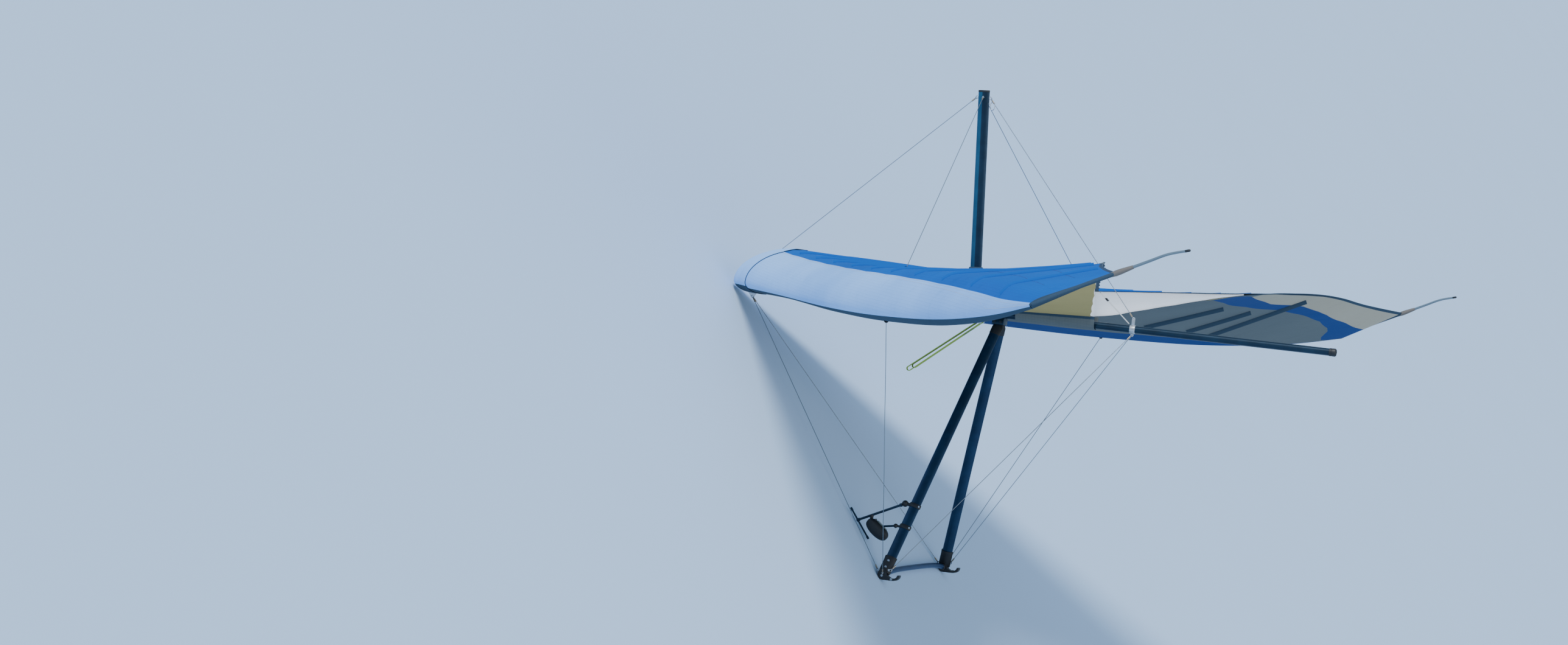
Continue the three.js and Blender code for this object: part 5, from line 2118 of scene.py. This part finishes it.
@dataclass
class Instrument(Assembly):
    """The flight instrument on the left downtube: two clamps, an arm with a cross rod, and the pod."""

    frame: ControlFrame
    raised: float = 0.158
    upper: float = 0.287
    lower: float = 0.148

    def at(self, x: float, y: float, z: float) -> Vector:
        """A point that is given as it would be at the downtube's foot, where the clamps now hold it."""
        return Vector((x, y, z)) + self.frame.axis * self.raised

    def on_tube(self, stop: float) -> Vector:
        """A point of the downtube's middle, by its distance from the corner before the raise."""
        return self.frame.corner + self.frame.axis * (stop + self.raised)

    def build(self) -> None:
        """Makes the clamps, the arm and the pod."""
        ball, boss = self.at(0.596, 1.264, -1.262), self.at(0.665, 1.240, -1.390)
        self.clamp("upper", self.upper, ball, 0.019, "instrument_clamp")
        self.clamp("lower", self.lower, boss, 0.013, "instrument_lower_clamp")
        self.arm(ball)
        self.pod()
        self.pod_rod(boss)
        self.face()

    def clamp(self, name: str, stop: float, knob: Vector, size: float, node: str) -> None:
        """A split clamp on the downtube with a ball on a neck, and its screw.

        Args:
            name: Which clamp it is.
            stop: Where it sits on the downtube.
            knob: The ball's middle.
            size: The ball's radius.
            node: The CAD node that it stands for.
        """
        section = airfoil_tube(self.frame.chord + 0.010, self.frame.thickness + 0.010)
        path = [self.on_tube(stop + far) for far in (-0.012, -0.010, 0.010, 0.012)]
        draft = Draft()
        draft.add_sweep(path, section, AFT, scales=[0.95, 1.0, 1.0, 0.95])
        draft.add_ball(knob, size)
        foot = self.on_tube(stop)
        reach = (foot - knob).length
        profile = [(size * 0.7, size * 0.62), (size * 1.1, size * 0.5)]
        profile += [(reach * 0.8, size * 0.55), (reach, size * 0.8)]
        draft.add_turned(knob, foot - knob, profile, 20)
        self.shop.make(draft, f"{name}_clamp_body", [Finish.PLASTIC], "black_plastic", [node], 0.0008)
        self.shop.bolt(f"{name}_clamp_screw", [foot + Vector((0.0135, 0.026, 0))], (0.0035, 0.004))

    def arm(self, ball: Vector) -> None:
        """The arm from the upper ball, and the cross rod at its end with two knobs.

        Args:
            ball: The ball's middle.
        """
        draft = Draft()
        along = self.at(0.596, 1.001, -1.387) - ball
        reach = along.length
        profile = [(0.0193, 0.0105), (0.030, 0.0105), (0.034, 0.007), (reach - 0.012, 0.007)]
        profile += [(reach - 0.010, 0.0095), (reach + 0.006, 0.0095), (reach + 0.008, 0.007)]
        draft.add_turned(ball, along, profile, 20)
        top = self.at(0.596, 0.955, -1.327)
        rod = self.at(0.596, 1.070, -1.482) - top
        length = rod.length
        profile = [(-0.007, 0.004), (-0.005, 0.0068), (0.012, 0.0068), (0.014, 0.005)]
        profile += [(length - 0.014, 0.005), (length - 0.012, 0.0068)]
        profile += [(length + 0.005, 0.0068), (length + 0.007, 0.004)]
        draft.add_turned(top, rod, profile, 16)
        self.shop.make(draft, "instrument_arm_rod", [Finish.TUBE], "dark_tube", ["instrument_arm"])

    @property
    def middle(self) -> Vector:
        """The pod's middle."""
        return self.at(0.606, 1.121, -1.427)

    @property
    def tilt(self) -> Matrix:
        """How the pod is turned."""
        return Matrix.Rotation(math.radians(-38), 3, "X")

    def pod(self) -> None:
        """The instrument's body, with the stem that it hangs from the arm by."""
        draft, rings = Draft(), []
        for turn in evenly(0.04 * math.pi, 0.96 * math.pi, 16):
            far, size = -0.076 * math.cos(turn), math.sin(turn) ** 0.72
            ring = rounded_box(0.066 * size, 0.080 * size, 0.028 * size, 5)
            rings.append([self.middle + self.tilt @ Vector((a, far, b)) for a, b in ring])
        draft.add_rings(rings)
        foot = self.at(0.600, 1.076, -1.390)
        stem = self.at(0.596, 1.080, -1.349) - foot
        profile = [(0, 0.012), (0.012, 0.009), (0.026, 0.009), (0.030, 0.0105), (stem.length, 0.0105)]
        draft.add_turned(foot, stem, profile, 20)
        nodes = ["instrument_pod"]
        self.shop.make(draft, "instrument_body", [Finish.PLASTIC], "black_plastic", nodes, 0.0006)

    def pod_rod(self, boss: Vector) -> None:
        """The rod from the lower clamp to the pod.

        Args:
            boss: The middle of the lower clamp's ball.
        """
        draft, rod = Draft(), self.at(0.612, 1.141, -1.407) - boss
        draft.add_turned(boss, rod, [(0.010, 0.006), (rod.length, 0.006)], 16)
        self.shop.make(draft, "instrument_rod", [Finish.TUBE], "black_plastic")

    def face(self) -> None:
        """The pod's screen and its three keys."""
        draft, tilt = Draft(), self.tilt
        place, axes = self.middle + tilt @ Vector((0, 0.004, 0.0385)), (tilt @ ACROSS, tilt @ AFT)
        draft.add_plate(rounded_box(0.044, 0.070, 0.006), (-0.002, 0.0022), place, axes)
        self.shop.make(draft, "instrument_glass", [Finish.SCREEN], "black_plastic", bevel=0.0006)
        keys = [self.middle + tilt @ Vector((far, -0.046, 0.0345)) for far in (-0.012, 0.0, 0.012)]
        size, finish = (0.0036, 0.004), Finish.GREY_PLASTIC
        self.shop.bolt("instrument_keys", keys, size, finish, "black_plastic", tilt @ UP)


@dataclass
class Studio:
    """The pale floor, the soft lights and the camera at the photograph's angle."""

    attitude: Attitude
    azimuth: float = 0.267
    elevation: float = 0.012
    roll: float = 0.113
    distance: float = 28.651
    lens: float = 113.24
    target: Vector = spot(0, 0.325, -0.191)

    def build(self) -> None:
        """Makes the floor, the lights and the camera."""
        self.floor()
        self.lights()
        self.camera()

    def floor(self) -> None:
        """A level floor that reaches past everything that the camera sees."""
        work = bmesh.new()
        bmesh.ops.create_circle(work, cap_ends=True, segments=64, radius=400.0)
        mesh = bpy.data.meshes.new("studio_floor")
        work.to_mesh(mesh)
        work.free()
        mesh.materials.append(StudioFloor("studio_floor", rgb(188, 218, 250)).build())
        floor = bpy.data.objects.new("studio_floor", mesh)
        bpy.context.scene.collection.objects.link(floor)

    def lights(self) -> None:
        """A soft key, a softer fill and an even sky."""
        world = bpy.data.worlds.new("studio")
        world.use_nodes = True
        backdrop = world.node_tree.nodes["Background"]
        backdrop.inputs["Color"].default_value = rgb(188, 218, 250)
        backdrop.inputs["Strength"].default_value = 0.62
        bpy.context.scene.world = world
        for name, source, strength, width in (
            ("key", Vector((0.55, 0.15, 0.9)), 3.2, 20.0),
            ("fill", Vector((0.9, -0.5, 0.15)), 0.55, 60.0),
            ("rear", Vector((0.5, 0.9, -0.05)), 1.2, 50.0),
        ):
            lamp = bpy.data.lights.new(name, "SUN")
            lamp.energy = strength
            lamp.angle = math.radians(width)
            light = bpy.data.objects.new(name, lamp)
            toward = self.attitude.place.to_3x3() @ source
            light.rotation_mode = "QUATERNION"
            light.rotation_quaternion = toward.to_track_quat("Z", "Y")
            light.location = toward * 20
            bpy.context.scene.collection.objects.link(light)

    def camera(self) -> None:
        """The camera, left of the glider and slightly behind, as in the photograph."""
        a, e = self.azimuth, self.elevation
        back = Vector((math.cos(a) * math.cos(e), math.sin(a) * math.cos(e), math.sin(e)))
        right = (-back).cross(UP).normalized()
        high = right.cross(-back)
        turned = right * math.cos(self.roll) + high * math.sin(self.roll)
        upright = high * math.cos(self.roll) - right * math.sin(self.roll)
        place = Matrix((turned, upright, back)).transposed().to_4x4()
        place.translation = self.target + back * self.distance
        lens = bpy.data.cameras.new("camera")
        lens.lens = self.lens
        lens.sensor_width = 36.0
        lens.sensor_fit = "HORIZONTAL"
        lens.clip_start, lens.clip_end = 0.5, 900.0
        lens.dof.use_dof = False
        camera = bpy.data.objects.new("camera", lens)
        camera.matrix_world = self.attitude.place @ place
        bpy.context.scene.collection.objects.link(camera)
        bpy.context.scene.camera = camera


def dress_frame(shop: Workshop) -> None:
    """Gives every CAD node that still shows a finish of its own.

    Args:
        shop: The workshop, with the frame.
    """
    for name, node in shop.frame["nodes"].items():
        plastic = "corner" in name or "cap" in name
        node.data.materials.clear()
        node.data.materials.append(shop.material(Finish.PLASTIC if plastic else Finish.STEEL))


def main() -> None:
    """Builds the glider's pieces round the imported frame."""
    logging.basicConfig(level=logging.INFO, format="%(message)s")
    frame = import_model()
    attitude = Attitude.parked(frame["joints"][0]["pos_m"])
    shop = Workshop(frame, attitude)
    dress_frame(shop)
    sail, keel, mast, control = Sail(shop), Keel(shop), Kingpost(shop), ControlFrame(shop)
    parts = [
        Studio(attitude),
        sail,
        keel,
        mast,
        control,
        Wands(shop, sail.form),
        Rigging(shop, sail.form, keel, mast, control),
        HangPoint(shop),
        Instrument(shop, control),
    ]
    for part in parts:
        part.build()
        LOG.info("%s built", type(part).__name__)


if __name__ == "__main__":
    main()
